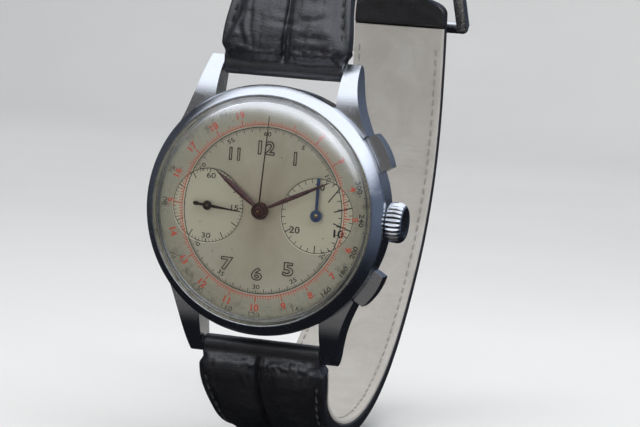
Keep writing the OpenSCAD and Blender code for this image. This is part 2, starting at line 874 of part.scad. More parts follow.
// Round hole through the strap for the buckle tongue.
module tongue_hole(i) {
  p = walk(turns_6, step_6, -1, i);
  translate([0, p[0], p[1]]) rotate([90 - turns_6[i] - 90, 0, 0])
    translate([0, 0, -4]) cylinder(r = 0.75, h = 8);
}

module strap_6_lining() {
  color("bisque") place() difference() {
    ribbon(band(turns_6, step_6, -1, 1, n_6 - 1, skin_6, lining_top_6));
    for (i = [13 : 19]) tongue_hole(i);
  }
}

// Frame at the end of the twelve o'clock half: y runs along it, z points outward.
module at_end(along, heading) {
  translate([0, end_12[0], end_12[1]]) rotate([-heading, 0, 0]) translate([0, along, 0]) children();
}

// Leather loop around the strap with room for the other half.
module keeper(along, length) {
  at_end(along, 123) difference() {
    translate([-strap_end_w / 2 - 1.25, -length / 2, -strap_thin / 2 - 1.1])
      cube([strap_end_w + 2.5, length, 2 * strap_thin + 2.4]);
    translate([-strap_end_w / 2 - 0.3, -length, -strap_thin / 2 - 0.15])
      cube([strap_end_w + 0.6, 2 * length, 2 * strap_thin + 0.5]);
  }
}

module fixed_keeper() {
  color("black") place() keeper(-5.6, 4.5);
}

module free_keeper() {
  color("black") place() keeper(-11.6, 5);
}

// ---------- buckle ----------

frame_heading = 140;
frame_len = 10;

module buckle_bar() {
  color("silver") place() across(end_12, 0.58, strap_end_w + 3.4);
}

module buckle_frame() {
  inner = strap_end_w + 0.6;
  outer = strap_end_w + 4.2;
  color("silver") place() difference() {
    at_end(0, frame_heading) union() {
      for (s = [1, -1])
        translate([s * (inner + outer) / 4 - (outer - inner) / 4, -1.2, -0.9])
          cube([(outer - inner) / 2, frame_len + 1.2, 1.8]);
      translate([-outer / 2 + 1, frame_len, 0]) rod(1.0, 0, outer - 2);
      for (s = [1, -1]) translate([s * (outer / 2 - 1), frame_len, 0]) sphere(r = 1.0);
    }
    across(end_12, 0.64, 30);
  }
}

module buckle_tongue() {
  color("silver") place() difference() {
    union() {
      across(end_12, 1.2, 2.2);
      at_end(0, frame_heading) translate([-0.8, 0, 1.06]) cube([1.6, frame_len + 1.3, 0.8]);
      at_end(0, frame_heading) translate([-1.1, -0.6, 0.6]) cube([2.2, 1.8, 1.26]);
    }
    across(end_12, 0.68, 30);
  }
}

mid_case();
bezel();
crystal();
case_back();
case_back_gasket();
movement_ring();
crown_tube();
pusher_tubes();
spring_bars();
dial();
main_plate();
barrel_bridge();
train_bridge();
balance_cock();
chronograph_bridge();
jewels();
movement_screws();
centre_wheel();
cannon_pinion();
minute_hand();
hour_wheel();
hour_hand();
minute_wheel();
mainspring_barrel();
mainspring();
barrel_arbor();
ratchet_wheel();
crown_wheel();
click();
third_wheel();
fourth_wheel();
small_seconds_hand();
escape_wheel();
pallet_fork();
balance_wheel();
hairspring();
chronograph_runner();
chronograph_hand();
minute_recorder_wheel();
minute_recorder_hand();
column_wheel();
coupling_lever();
coupling_wheel();
reset_hammer();
setting_lever();
winding_stem();
crown();
start_pusher();
reset_pusher();
strap_12_leather();
strap_12_lining();
strap_6_leather();
strap_6_lining();
fixed_keeper();
free_keeper();
buckle_bar();
buckle_frame();
buckle_tongue();
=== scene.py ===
import json
import math
import random

import bpy
import numpy as np
from mathutils import Matrix, Vector


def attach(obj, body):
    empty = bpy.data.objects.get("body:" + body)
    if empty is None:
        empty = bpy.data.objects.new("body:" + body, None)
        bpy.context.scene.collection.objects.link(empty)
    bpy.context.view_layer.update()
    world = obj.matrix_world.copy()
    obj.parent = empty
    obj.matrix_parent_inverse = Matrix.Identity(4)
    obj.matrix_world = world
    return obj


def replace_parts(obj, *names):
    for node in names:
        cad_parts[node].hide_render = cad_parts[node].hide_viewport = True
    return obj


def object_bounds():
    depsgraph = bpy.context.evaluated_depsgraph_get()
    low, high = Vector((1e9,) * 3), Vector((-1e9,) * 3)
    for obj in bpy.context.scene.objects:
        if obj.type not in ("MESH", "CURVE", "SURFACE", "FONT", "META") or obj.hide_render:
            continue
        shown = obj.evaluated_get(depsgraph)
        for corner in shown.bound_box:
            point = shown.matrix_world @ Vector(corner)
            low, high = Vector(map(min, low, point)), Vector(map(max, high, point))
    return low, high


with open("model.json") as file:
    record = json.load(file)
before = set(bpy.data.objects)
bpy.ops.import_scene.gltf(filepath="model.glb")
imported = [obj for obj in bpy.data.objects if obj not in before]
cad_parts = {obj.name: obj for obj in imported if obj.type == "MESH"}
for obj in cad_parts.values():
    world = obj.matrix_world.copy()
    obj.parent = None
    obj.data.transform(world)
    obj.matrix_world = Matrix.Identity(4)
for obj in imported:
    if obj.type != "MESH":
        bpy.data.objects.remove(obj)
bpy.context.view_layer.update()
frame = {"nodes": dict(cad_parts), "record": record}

MM = 0.001
random.seed(7)


BACK = 8.2          # from the dial's upper face down to the case back's outer face


def W(x, y, z):
    """Dial coordinates in mm, x to three o'clock, y to twelve and z to the reader, in the row frame."""
    return Vector((x * MM, -(z + BACK) * MM, y * MM))


# ---------------------------------------------------------------- materials

class Shader:
    """A procedural material built node by node, measured in millimetres of the object."""

    def __init__(self, name, colour, metallic=0.0, rough=0.5):
        self.mat = bpy.data.materials.new(name)
        self.mat.use_nodes = True
        self.tree = self.mat.node_tree
        self.tree.nodes.clear()
        self.out = self.tree.nodes.new("ShaderNodeOutputMaterial")
        self.bsdf = self.tree.nodes.new("ShaderNodeBsdfPrincipled")
        self.tree.links.new(self.bsdf.outputs[0], self.out.inputs[0])
        self.set("Base Color", (*colour, 1))
        self.set("Metallic", metallic)
        self.set("Roughness", rough)
        coord = self.tree.nodes.new("ShaderNodeTexCoord")
        scale = self.tree.nodes.new("ShaderNodeVectorMath")
        scale.operation = "SCALE"
        scale.inputs["Scale"].default_value = 1 / MM
        self.tree.links.new(coord.outputs["Object"], scale.inputs[0])
        self.mm = scale.outputs[0]

    def put(self, socket, value):
        if isinstance(value, bpy.types.NodeSocket):
            self.tree.links.new(value, socket)
        elif isinstance(value, tuple) and len(value) == 3 and socket.type == "RGBA":
            socket.default_value = (*value, 1)
        else:
            socket.default_value = value

    def set(self, name, value):
        self.put(self.bsdf.inputs[name], value)
        return self

    def node(self, kind, out=0, props=None, **inputs):
        n = self.tree.nodes.new(kind)
        for k, v in (props or {}).items():
            setattr(n, k, v)
        for k, v in inputs.items():
            key = int(k[1:]) if k[0] == "i" and k[1:].isdigit() else k.replace("_", " ")
            self.put(n.inputs[key], v)
        return n.outputs[out]

    def stretch(self, x, y, z):
        return self.node("ShaderNodeVectorMath", props={"operation": "MULTIPLY"}, i0=self.mm, i1=(x, y, z))

    def noise(self, scale, detail=4.0, rough=0.55, vector=None, distort=0.0):
        return self.node("ShaderNodeTexNoise", props={"noise_dimensions": "3D"}, Vector=vector or self.mm,
                         Scale=scale, Detail=detail, Roughness=rough, Distortion=distort)

    def cells(self, scale, feature="F1", vector=None):
        return self.node("ShaderNodeTexVoronoi", props={"feature": feature}, Vector=vector or self.mm,
                         Scale=scale)

    def ramp(self, fac, *stops):
        n = self.tree.nodes.new("ShaderNodeValToRGB")
        while len(n.color_ramp.elements) < len(stops):
            n.color_ramp.elements.new(0.5)
        for e, (pos, col) in zip(n.color_ramp.elements, stops):
            e.position = pos
            e.color = (col, col, col, 1) if isinstance(col, (int, float)) else (*col, 1)
        self.put(n.inputs[0], fac)
        return n.outputs[0]

    def rise(self, fac, low, high):
        """None below low, full above high."""
        return self.ramp(fac, (low, 0.0), (high, 1.0))

    def mix(self, fac, a, b):
        n = self.tree.nodes.new("ShaderNodeMix")
        n.data_type = "RGBA"
        self.put(n.inputs[0], fac)
        self.put(n.inputs[6], a)
        self.put(n.inputs[7], b)
        return n.outputs[2]

    def math(self, op, a, b=0.0, c=0.0):
        n = self.tree.nodes.new("ShaderNodeMath")
        n.operation = op
        for s, v in zip(n.inputs, (a, b, c)):
            self.put(s, v)
        return n.outputs[0]

    def times(self, a, b):
        return self.math("MULTIPLY", a, b)

    def plus(self, a, b):
        return self.math("ADD", a, b)

    def bump(self, height, distance, strength=1.0, after=None):
        n = self.tree.nodes.new("ShaderNodeBump")
        n.inputs["Strength"].default_value = strength
        n.inputs["Distance"].default_value = distance * MM
        self.put(n.inputs["Height"], height)
        if after is not None:
            self.put(n.inputs["Normal"], after)
        return n.outputs[0]


def steel(name, colour=(0.66, 0.67, 0.69), rough=0.13, hair=0.02, smear=0.16):
    """Polished steel with hairline scratches in two directions, smears and a few small dents."""
    s = Shader(name, colour, 1.0, rough)
    lines_a = s.noise(1.0, 3, 0.7, s.stretch(14, 14, 0.7))
    lines_b = s.noise(1.0, 3, 0.7, s.stretch(0.8, 11, 13))
    scratch = s.math("MAXIMUM", s.rise(lines_a, 0.60, 0.74),
                     s.rise(lines_b, 0.62, 0.76))
    cloud = s.noise(0.35, 5, 0.6, distort=0.6)
    smeared = s.times(s.rise(cloud, 0.38, 0.7), smear)
    s.set("Roughness", s.plus(rough, s.plus(smeared, s.times(scratch, 0.16))))
    duller = tuple(c * 0.93 for c in colour)
    s.set("Base Color", s.mix(s.rise(cloud, 0.35, 0.75), duller, colour))
    dents = s.rise(s.cells(0.9), 0.0, 0.14)
    n = s.bump(lines_a, hair, 0.5)
    n = s.bump(lines_b, hair, 0.4, n)
    s.set("Normal", s.bump(dents, 0.012, 0.35, n))
    return s.mat


def brushed(name, colour, rough=0.3, axis=(1, 10, 10), tint=0.1):
    """Ground or gilt metal for the parts of the movement."""
    s = Shader(name, colour, 1.0, rough)
    grain = s.noise(2.2, 4, 0.7, s.stretch(*axis))
    patch = s.noise(0.5, 4)
    duller = tuple(c * (1 - tint) for c in colour)
    s.set("Base Color", s.mix(s.rise(patch, 0.3, 0.7), duller, colour))
    s.set("Roughness", s.plus(rough, s.times(grain, 0.22)))
    s.set("Normal", s.bump(grain, 0.012, 0.7))
    return s.mat


def leather(name, colour, sheen, grain, rough, crease=0.05, worn=(0.1, 0.1, 0.11)):
    """Grained leather: pebbled cells, fine pores, creases and rubbed high spots."""
    s = Shader(name, colour, 0.0, rough)
    warp = s.node("ShaderNodeVectorMath", props={"operation": "ADD"}, i0=s.mm,
                  i1=s.node("ShaderNodeTexNoise", out=1, Vector=s.mm, Scale=0.8, Detail=3.0))
    pebble = s.cells(grain, "DISTANCE_TO_EDGE", warp)
    pebbles = s.ramp(pebble, (0.0, 0.0), (0.16, 0.85), (0.5, 1.0))
    pores = s.rise(s.cells(grain * 2.7, "F1", warp), 0.05, 0.25)
    wrinkle = s.noise(0.9, 5, 0.6, s.stretch(0.5, 1.4, 1.4), 1.2)
    rub = s.rise(s.noise(0.28, 5, 0.65), 0.45, 0.72)
    tone = s.mix(rub, colour, worn)
    s.set("Base Color", s.mix(pebbles, tuple(c * 0.45 for c in colour), tone))
    uneven = s.plus(rough + 0.08, s.times(wrinkle, 0.12))
    s.set("Roughness", s.plus(s.times(pebbles, -0.1), uneven))
    s.set("Specular IOR Level", sheen)
    s.set("Coat Weight", sheen * 0.6)
    s.set("Coat Roughness", 0.24)
    n = s.bump(wrinkle, 0.16, 0.6)
    n = s.bump(pebbles, crease, 0.8, n)
    s.set("Normal", s.bump(pores, crease * 0.3, 0.5, n))
    return s.mat


def lining(name, colour):
    """Undyed lining leather, pale and matt, with fine hair pores, sweat marks and soft creases."""
    s = Shader(name, colour, 0.0, 0.72)
    stain = s.noise(0.12, 5, 0.6, distort=0.8)
    fibre = s.noise(5.0, 6, 0.7)
    pores = s.rise(s.cells(4.2), 0.06, 0.22)
    soiled = tuple(c * f for c, f in zip(colour, (0.86, 0.835, 0.80)))
    base = s.mix(s.rise(stain, 0.38, 0.68), soiled, colour)
    base = s.mix(s.rise(fibre, 0.3, 0.7), s.mix(0.25, base, (0.38, 0.35, 0.31)), base)
    s.set("Base Color", base)
    s.set("Roughness", s.plus(0.6, s.times(fibre, 0.25)))
    n = s.bump(s.noise(0.7, 4, 0.5, s.stretch(0.35, 1.6, 1.6), 0.8), 0.12, 0.5)
    n = s.bump(fibre, 0.03, 0.5, n)
    s.set("Normal", s.bump(pores, 0.02, 0.5, n))
    return s.mat


def thread(name, colour):
    s = Shader(name, colour, 0.0, 0.5)
    ply = s.node("ShaderNodeTexWave", props={"bands_direction": "DIAGONAL"},
                 Vector=s.mm, Scale=3.0, Distortion=0.6)
    s.set("Base Color", s.mix(ply, tuple(c * 0.5 for c in colour), colour))
    s.set("Roughness", s.plus(0.4, s.times(ply, 0.25)))
    s.set("Sheen Weight", 0.3)
    s.set("Normal", s.bump(ply, 0.05, 0.8))
    return s.mat


def dial_metal(name):
    """Silvered dial gone warm with age: sunburst brushing with painted sheen streaks and painted shade sweeps
    in its colour, browner middle, darker towards the rim, rings in the registers, specks.
    """
    s = Shader(name, (0.5, 0.46, 0.38), 0.55, 0.42)
    split = s.tree.nodes.new("ShaderNodeSeparateXYZ")
    s.put(split.inputs[0], s.mm)
    x, z = split.outputs[0], split.outputs[2]
    flat = s.node("ShaderNodeCombineXYZ", X=x, Y=0.0, Z=z)
    radius = s.node("ShaderNodeVectorMath", out=1, props={"operation": "LENGTH"}, i0=flat)
    ray = s.node("ShaderNodeVectorMath", props={"operation": "NORMALIZE"}, i0=flat)
    # Fine radial streak noise: bump for the brushing, and painted sheen in the colour below.
    brushing_and_sheen = s.noise(22.0, 4, 0.75, ray)
    # Broad radial noise: painted shade sweeps in the colour, standing in for the sunburst's sheen; it also
    # varies the roughness.
    soft = s.noise(1.4, 2, 0.5, ray)
    patch = s.noise(0.16, 4, 0.6, distort=0.5)
    warm, pale, olive = (0.435, 0.365, 0.280), (0.50, 0.475, 0.395), (0.385, 0.380, 0.315)
    t = s.math("DIVIDE", radius, 17.0)
    body = s.mix(s.ramp(t, (0.0, 0.0), (0.45, 0.8), (0.70, 1.0)), warm, pale)
    body = s.mix(s.rise(t, 0.72, 0.80), body, olive)
    body = s.mix(s.ramp(t, (0.92, 0.0), (1.0, 0.8)), body, (0.21, 0.20, 0.155))
    body = s.mix(s.ramp(patch, (0.40, 0.0), (0.70, 0.55)), body, (0.34, 0.30, 0.215))
    # Painted sheen: lighter radial streaks in the colour.
    body = s.mix(s.times(s.rise(brushing_and_sheen, 0.35, 0.65), 0.20), body, (0.62, 0.58, 0.47))
    # Painted shade: broad darker wedges around the dial.
    body = s.mix(s.times(s.rise(soft, 0.35, 0.65), 0.22), body, (0.34, 0.31, 0.235))
    inside = None
    rings = None
    for side in (1, -1):
        off = s.node("ShaderNodeVectorMath", props={"operation": "ADD"},
                     i0=flat, i1=(-side * REGISTER_X, 0, 0))
        d = s.node("ShaderNodeVectorMath", out=1, props={"operation": "LENGTH"}, i0=off)
        near = s.math("LESS_THAN", d, REGISTER_R - 0.02)
        groove = s.times(s.math("SINE", s.times(d, 34.0)), near)
        inside = near if inside is None else s.math("MAXIMUM", inside, near)
        rings = groove if rings is None else s.plus(rings, groove)
    body = s.mix(s.times(inside, 0.70), body, (0.64, 0.605, 0.475))
    speck = s.ramp(s.cells(1.9), (0.0, 1.0), (0.13, 0.0))
    where = s.rise(s.noise(0.20, 3, 0.6), 0.48, 0.60)
    speck = s.times(s.times(speck, where), 0.75)
    fox = s.times(s.ramp(s.cells(0.45), (0.0, 0.9), (0.085, 0.0)), 0.8)
    smudge = s.times(s.rise(s.noise(0.55, 5, 0.65), 0.54, 0.72),
                    s.ramp(t, (0.80, 0.0), (0.88, 0.75)))
    dirt = s.math("MAXIMUM", s.math("MAXIMUM", speck, fox), smudge)
    body = s.mix(dirt, body, (0.075, 0.060, 0.042))
    s.set("Base Color", body)
    dulling = s.plus(s.times(soft, 0.10), s.times(dirt, 0.3))
    s.set("Roughness", s.plus(0.36, dulling))
    s.set("Metallic", s.math("SUBTRACT", 0.30, s.times(dirt, 0.25)))
    n = s.bump(brushing_and_sheen, 0.010, 0.6)
    n = s.bump(rings, 0.006, 0.5, n)
    s.set("Normal", s.bump(s.noise(9.0, 4, 0.6), 0.004, 0.6, n))
    return s.mat


def clear_crystal(name):
    """Domed acrylic crystal: it lets shadow rays through so that the dial below is lit, and an extra gloss
    layer paints a reflection near its rim on the twelve o'clock half.
    """
    s = Shader(name, (0.97, 0.975, 0.96), 0.0, 0.02)
    s.set("Transmission Weight", 1.0)
    s.set("IOR", 1.45)
    hair = s.rise(s.noise(1.0, 3, 0.7, s.stretch(9, 1, 0.6)), 0.62, 0.8)
    s.set("Roughness", s.plus(0.006, s.times(hair, 0.03)))
    s.set("Normal", s.bump(hair, 0.004, 0.3))
    split = s.tree.nodes.new("ShaderNodeSeparateXYZ")
    s.put(split.inputs[0], s.mm)
    flat = s.node("ShaderNodeCombineXYZ", X=split.outputs[0], Y=0.0, Z=split.outputs[2])
    radius = s.node("ShaderNodeVectorMath", out=1, props={"operation": "LENGTH"}, i0=flat)
    cloud = s.ramp(s.noise(0.35, 4, 0.6, distort=0.4), (0.25, 0.55), (0.7, 1.0))
    # Painted reflection: an extra gloss layer added over the glass, in a band near the rim and only on the
    # twelve o'clock half, patchy in clouds.
    reflection_rim_band = s.ramp(s.math("DIVIDE", radius, 17.0), (0.70, 0.0), (0.86, 0.6), (0.93, 1.0), (0.985, 0.55))
    added_reflection = s.tree.nodes.new("ShaderNodeBsdfGlossy")
    upper = s.rise(s.math("DIVIDE", split.outputs[2], 17.0), 0.15, 0.60)
    painted_reflection_mask = s.times(s.times(reflection_rim_band, upper), cloud)
    s.put(added_reflection.inputs["Color"], s.mix(painted_reflection_mask, (0.0, 0.0, 0.0), (0.27, 0.275, 0.29)))
    added_reflection.inputs["Roughness"].default_value = 0.14
    both = s.tree.nodes.new("ShaderNodeAddShader")
    s.tree.links.new(s.bsdf.outputs[0], both.inputs[0])
    s.tree.links.new(added_reflection.outputs[0], both.inputs[1])
    path = s.tree.nodes.new("ShaderNodeLightPath")
    open_ = s.tree.nodes.new("ShaderNodeBsdfTransparent")
    open_.inputs[0].default_value = (0.95, 0.955, 0.94, 1)
    blend = s.tree.nodes.new("ShaderNodeMixShader")
    soft_ray = s.math("MAXIMUM", path.outputs["Is Shadow Ray"], path.outputs["Is Diffuse Ray"])
    s.put(blend.inputs[0], soft_ray)
    s.tree.links.new(both.outputs[0], blend.inputs[1])
    s.tree.links.new(open_.outputs[0], blend.inputs[2])
    s.tree.links.new(blend.outputs[0], s.out.inputs[0])
    return s.mat


def ink(name, colour, fade=0.35, back=(0.5, 0.46, 0.36)):
    """Printed ink that has worn thin in places."""
    s = Shader(name, colour, 0.0, 0.6)
    worn = s.ramp(s.noise(1.6, 5, 0.7), (0.42, 0.0), (0.68, fade))
    s.set("Base Color", s.mix(worn, colour, back))
    s.set("Normal", s.bump(s.noise(14.0, 3), 0.004, 0.5))
    return s.mat


def oxide(name, dark, light, metallic=0.75, rough=0.3):
    """Heat-tinted or aged metal of the hands."""
    s = Shader(name, dark, metallic, rough)
    bloom = s.noise(1.3, 5, 0.65, distort=0.7)
    s.set("Base Color", s.mix(s.rise(bloom, 0.38, 0.66), dark, light))
    s.set("Roughness", s.plus(rough, s.times(s.noise(4.0, 4), 0.25)))
    s.set("Normal", s.bump(s.noise(6.0, 4, 0.7, s.stretch(3, 1, 3)), 0.01, 0.5))
    return s.mat


def gem(name):
    s = Shader(name, (0.45, 0.02, 0.09), 0.0, 0.08)
    cloud = s.noise(3.0, 4)
    s.set("Base Color", s.mix(cloud, (0.30, 0.01, 0.06), (0.62, 0.05, 0.16)))
    s.set("Coat Weight", 0.6)
    s.set("Normal", s.bump(cloud, 0.004, 0.4))
    return s.mat


def rubber(name):
    s = Shader(name, (0.03, 0.03, 0.032), 0.0, 0.7)
    dust = s.noise(3.0, 5, 0.7)
    s.set("Base Color", s.mix(dust, (0.018, 0.018, 0.02), (0.06, 0.06, 0.062)))
    s.set("Normal", s.bump(dust, 0.03, 0.6))
    return s.mat


def floor_paint(name):
    s = Shader(name, (0.74, 0.74, 0.73), 0.0, 0.6)
    tone = s.noise(0.01, 3)
    s.set("Base Color", s.mix(tone, (0.72, 0.72, 0.715), (0.78, 0.78, 0.775)))
    s.set("Normal", s.bump(s.noise(2.0, 5), 0.02, 0.2))
    return s.mat


REGISTER_X = 8.6
REGISTER_R = 5.7
TRACK_R = 12.4

nodes = frame["nodes"]
record = frame["record"]

black_leather = leather("black_leather", (0.012, 0.012, 0.016), 0.95, 2.9, 0.30, 0.035, (0.028, 0.028, 0.033))
fold_leather = leather("fold_leather", (0.013, 0.013, 0.015), 0.5, 3.4, 0.42, 0.07, (0.030, 0.030, 0.033))
pale_lining = lining("pale_lining", (0.56, 0.545, 0.52))
sewing = thread("sewing", (0.030, 0.030, 0.034))
pale_sewing = thread("pale_sewing", (0.50, 0.48, 0.45))
case_steel = steel("case_steel", (0.70, 0.725, 0.765), 0.10)
soft_steel = steel("soft_steel", (0.60, 0.60, 0.61), 0.22, 0.03, 0.2)
buckle_steel = steel("buckle_steel", (0.72, 0.73, 0.75), 0.20, 0.03, 0.2)
dial_face = dial_metal("dial_face")
glass = clear_crystal("crystal")
ink_black = ink("ink_black", (0.020, 0.019, 0.018), 0.18)
ink_bold = ink("ink_bold", (0.010, 0.009, 0.009), 0.05)
ink_grey = ink("ink_grey", (0.055, 0.050, 0.045), 0.85)
ink_red = ink("ink_red", (0.56, 0.060, 0.028), 0.22)
ink_umber = ink("ink_umber", (0.042, 0.032, 0.024), 0.22)
leaf_metal = oxide("leaf_metal", (0.050, 0.024, 0.032), (0.135, 0.058, 0.062), 0.45, 0.30)
boss_metal = oxide("boss_metal", (0.030, 0.012, 0.012), (0.105, 0.036, 0.032), 0.50, 0.28)
black_metal = oxide("black_metal", (0.014, 0.010, 0.010), (0.045, 0.028, 0.026), 0.4, 0.3)
blue_metal = oxide("blue_metal", (0.028, 0.050, 0.125), (0.060, 0.095, 0.20), 0.35, 0.3)
gilt = brushed("gilt", (0.72, 0.55, 0.28), 0.28)
gilt_wheel = brushed("gilt_wheel", (0.76, 0.58, 0.30), 0.22, (6, 1, 6))
ground_steel = brushed("ground_steel", (0.56, 0.56, 0.58), 0.26, (1, 8, 1))
blued = oxide("blued", (0.04, 0.07, 0.20), (0.10, 0.14, 0.32), 0.9, 0.22)
ruby = gem("ruby")
gasket = rubber("gasket")

BY_SLOT = {
    "polished_steel": case_steel, "plain_steel": ground_steel, "crystal": glass, "dial": dial_face,
    "gilt_brass": gilt, "spring_steel": blued, "jewel": ruby, "gasket": gasket,
    "oxidised_hands": leaf_metal, "black_hands": black_metal, "blued_hand": blue_metal,
    "black_leather": black_leather, "lining_leather": pale_lining,
}
slot_of = {s["node"]: s["material_slot"] for s in record["subparts"]}
# Rounded edges of carried pieces, in mm; every other carried piece keeps its creases.
BEVEL = {
    "mid_case": 0.18, "bezel": 0.08, "case_back": 0.15, "crown_tube": 0.04,
    "start_pusher": 0.07, "reset_pusher": 0.07, "buckle_frame": 0.25, "buckle_tongue": 0.2,
}
CREASE_ANGLE = math.radians(32)


def edge(obj, width, angle=30):
    """Small rounded edges that catch the light."""
    m = obj.modifiers.new("edge", "BEVEL")
    m.width = width * MM
    m.segments = 3
    m.limit_method = "ANGLE"
    m.angle_limit = math.radians(angle)
    m.harden_normals = True
    return m


def smoothing():
    """Modifier nodes that drop the loaded normals and shade smooth, so the CAD meshes stay as they are."""
    tree = bpy.data.node_groups.new("smoothed", "GeometryNodeTree")
    for way in ("INPUT", "OUTPUT"):
        tree.interface.new_socket("Geometry", in_out=way, socket_type="NodeSocketGeometry")
    last = tree.nodes.new("NodeGroupInput").outputs[0]
    strip = tree.nodes.new("GeometryNodeRemoveAttribute")
    strip.inputs["Name"].default_value = "custom_normal"
    for node in (strip, tree.nodes.new("GeometryNodeSetShadeSmooth")):
        tree.links.new(last, node.inputs[0])
        last = node.outputs[0]
    tree.links.new(last, tree.nodes.new("NodeGroupOutput").inputs[0])
    return tree


smooth_tree = smoothing()
for name, obj in nodes.items():
    obj.modifiers.new("smoothed", "NODES").node_group = smooth_tree
    joined = obj.modifiers.new("joined", "WELD")
    joined.merge_threshold = 0.002 * MM
    if name not in BEVEL:
        split = obj.modifiers.new("creased", "EDGE_SPLIT")
        split.split_angle = CREASE_ANGLE
    obj.data.materials.clear()
    obj.data.materials.append(BY_SLOT[slot_of[name]])
for name in ("centre_wheel", "hour_wheel", "minute_wheel", "third_wheel", "fourth_wheel", "balance_wheel",
             "chronograph_runner", "minute_recorder_wheel", "coupling_wheel"):
    nodes[name].data.materials[0] = gilt_wheel
for name in ("crown_tube", "pusher_tubes", "case_back"):
    nodes[name].data.materials[0] = soft_steel
for name in ("buckle_frame", "buckle_bar", "buckle_tongue"):
    nodes[name].data.materials[0] = buckle_steel


# ---------------------------------------------------------------- mesh helpers

def add(name, data):
    """A new object in the scene."""
    obj = bpy.data.objects.new(name, data)
    bpy.context.scene.collection.objects.link(obj)
    return obj


def quads(rows, m, ring=False, wrap=True, flip=False, base=0):
    """Faces between rows of m points; ring joins the last row to the first, wrap closes each row."""
    out = []
    for i in range(rows if ring else rows - 1):
        a, b = base + i * m, base + (i + 1) % rows * m
        for j in range(m if wrap else m - 1):
            k = (j + 1) % m
            out.append([a + j, a + k, b + k, b + j] if flip else [a + j, b + j, b + k, a + k])
    return out


def make(name, verts, faces, mat, body, smooth=True, weld=None, sharp=None):
    """A mesh piece with its points in metres in the row frame, riding on a body."""
    me = bpy.data.meshes.new(name)
    me.from_pydata([tuple(v) for v in verts], [], faces)
    me.validate()
    obj = add(name, me)
    if weld:
        import bmesh
        bm = bmesh.new()
        bm.from_mesh(me)
        bmesh.ops.remove_doubles(bm, verts=bm.verts, dist=weld * MM)
        bmesh.ops.recalc_face_normals(bm, faces=bm.faces)
        bm.to_mesh(me)
        bm.free()
    me.materials.append(mat)
    for p in me.polygons:
        p.use_smooth = smooth
    if sharp:
        me.set_sharp_from_angle(angle=math.radians(sharp))
    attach(obj, body)
    return obj


class Ink:
    """Gathers printed marks into one mesh that lies just over the dial."""

    def __init__(self, lift=0.008, depth=0.006):
        self.v, self.f, self.lift, self.depth = [], [], lift, depth

    def shape(self, points):
        """A flat outline, counter-clockwise as seen by the reader, with a little thickness."""
        k, n = len(self.v), len(points)
        for z in (self.lift + self.depth, self.lift):
            self.v += [W(x, y, z + level(x, y)) for x, y in points]
        self.f.append([k + i for i in range(n)])
        self.f.append([k + n + i for i in range(n)][::-1])
        self.f += [[k + i, k + n + i, k + n + (i + 1) % n, k + (i + 1) % n] for i in range(n)]

    def tick(self, cx, cy, angle, r0, r1, w):
        """A radial line at a clock angle between two radii of a circle."""
        a = math.radians(angle)
        d, s = (math.sin(a), math.cos(a)), (math.cos(a), -math.sin(a))
        h = w / 2
        p = [(cx + r * d[0] + q * s[0], cy + r * d[1] + q * s[1]) for r, q in
             ((r0, -h), (r0, h), (r1, h), (r1, -h))]
        self.shape(p)

    def arc(self, cx, cy, r, w, n=360):
        for i in range(n):
            a, b = 2 * math.pi * i / n, 2 * math.pi * (i + 1) / n
            self.shape([(cx + q * math.sin(t), cy + q * math.cos(t)) for q, t in
                        ((r - w / 2, a), (r - w / 2, b), (r + w / 2, b), (r + w / 2, a))])

    def text(self, word, x, y, size, turn=0.0, squeeze=1.0, weight=0.0):
        """Lettering centred on a point and turned clockwise by an angle."""
        pts, faces = letters(word, weight)
        a = math.radians(turn)
        k = len(self.v)
        for u, v in pts:
            u, v = u * size * squeeze, v * size
            px, py = x + u * math.cos(a) + v * math.sin(a), y - u * math.sin(a) + v * math.cos(a)
            self.v.append(W(px, py, level(px, py) + self.lift + self.depth))
        self.f += [[k + i for i in face] for face in faces]

    def build(self, name, mat, body="case", slot="dial"):
        return make(name, self.v, self.f, mat, body, smooth=False)


def word_mesh(word, offset, resolution, spacing=1.0):
    """A flat mesh of a word, with its outline moved out by an offset."""
    cu = bpy.data.curves.new("letters", "FONT")
    cu.body = word
    cu.offset = offset
    cu.resolution_u = resolution
    cu.space_character = spacing
    ob = add("letters", cu)
    bpy.context.view_layer.update()
    me = bpy.data.meshes.new_from_object(ob.evaluated_get(bpy.context.evaluated_depsgraph_get()))
    bpy.data.objects.remove(ob)
    bpy.data.curves.remove(cu)
    return me


_letters = {}


def letters(word, weight=0.0):
    """Points and faces of a word, one unit tall, centred on the origin."""
    key = (word, weight)
    if key not in _letters:
        me = word_mesh(word, weight, 4)
        co = np.array([v.co[:2] for v in me.vertices])
        co -= (co.min(0) + co.max(0)) / 2
        co /= CAPITAL
        _letters[key] = (co.tolist(), [list(p.vertices) for p in me.polygons])
        bpy.data.meshes.remove(me)
    return _letters[key]


CAPITAL = 0.72      # height of a capital in the built-in lettering
LOW = -0.1


def on_dial(x, y, margin=0.0):
    """False inside a register."""
    return all(math.hypot(x - sx * REGISTER_X, y) > REGISTER_R + margin for sx in (1, -1))


def level(x, y):
    """Height of the dial's surface: the registers are sunk."""
    return 0.0 if on_dial(x, y, -0.03) else LOW


def polar(angle, r, cx=0.0, cy=0.0):
    a = math.radians(angle)
    return cx + r * math.sin(a), cy + r * math.cos(a)


# ---------------------------------------------------------------- dial printing

black, grey, red, umber = Ink(), Ink(), Ink(), Ink()


def reading(a):
    """Turn that keeps lettering at a clock angle upright for the reader in the lower half."""
    return a + 180 if 100 < a < 262 else a


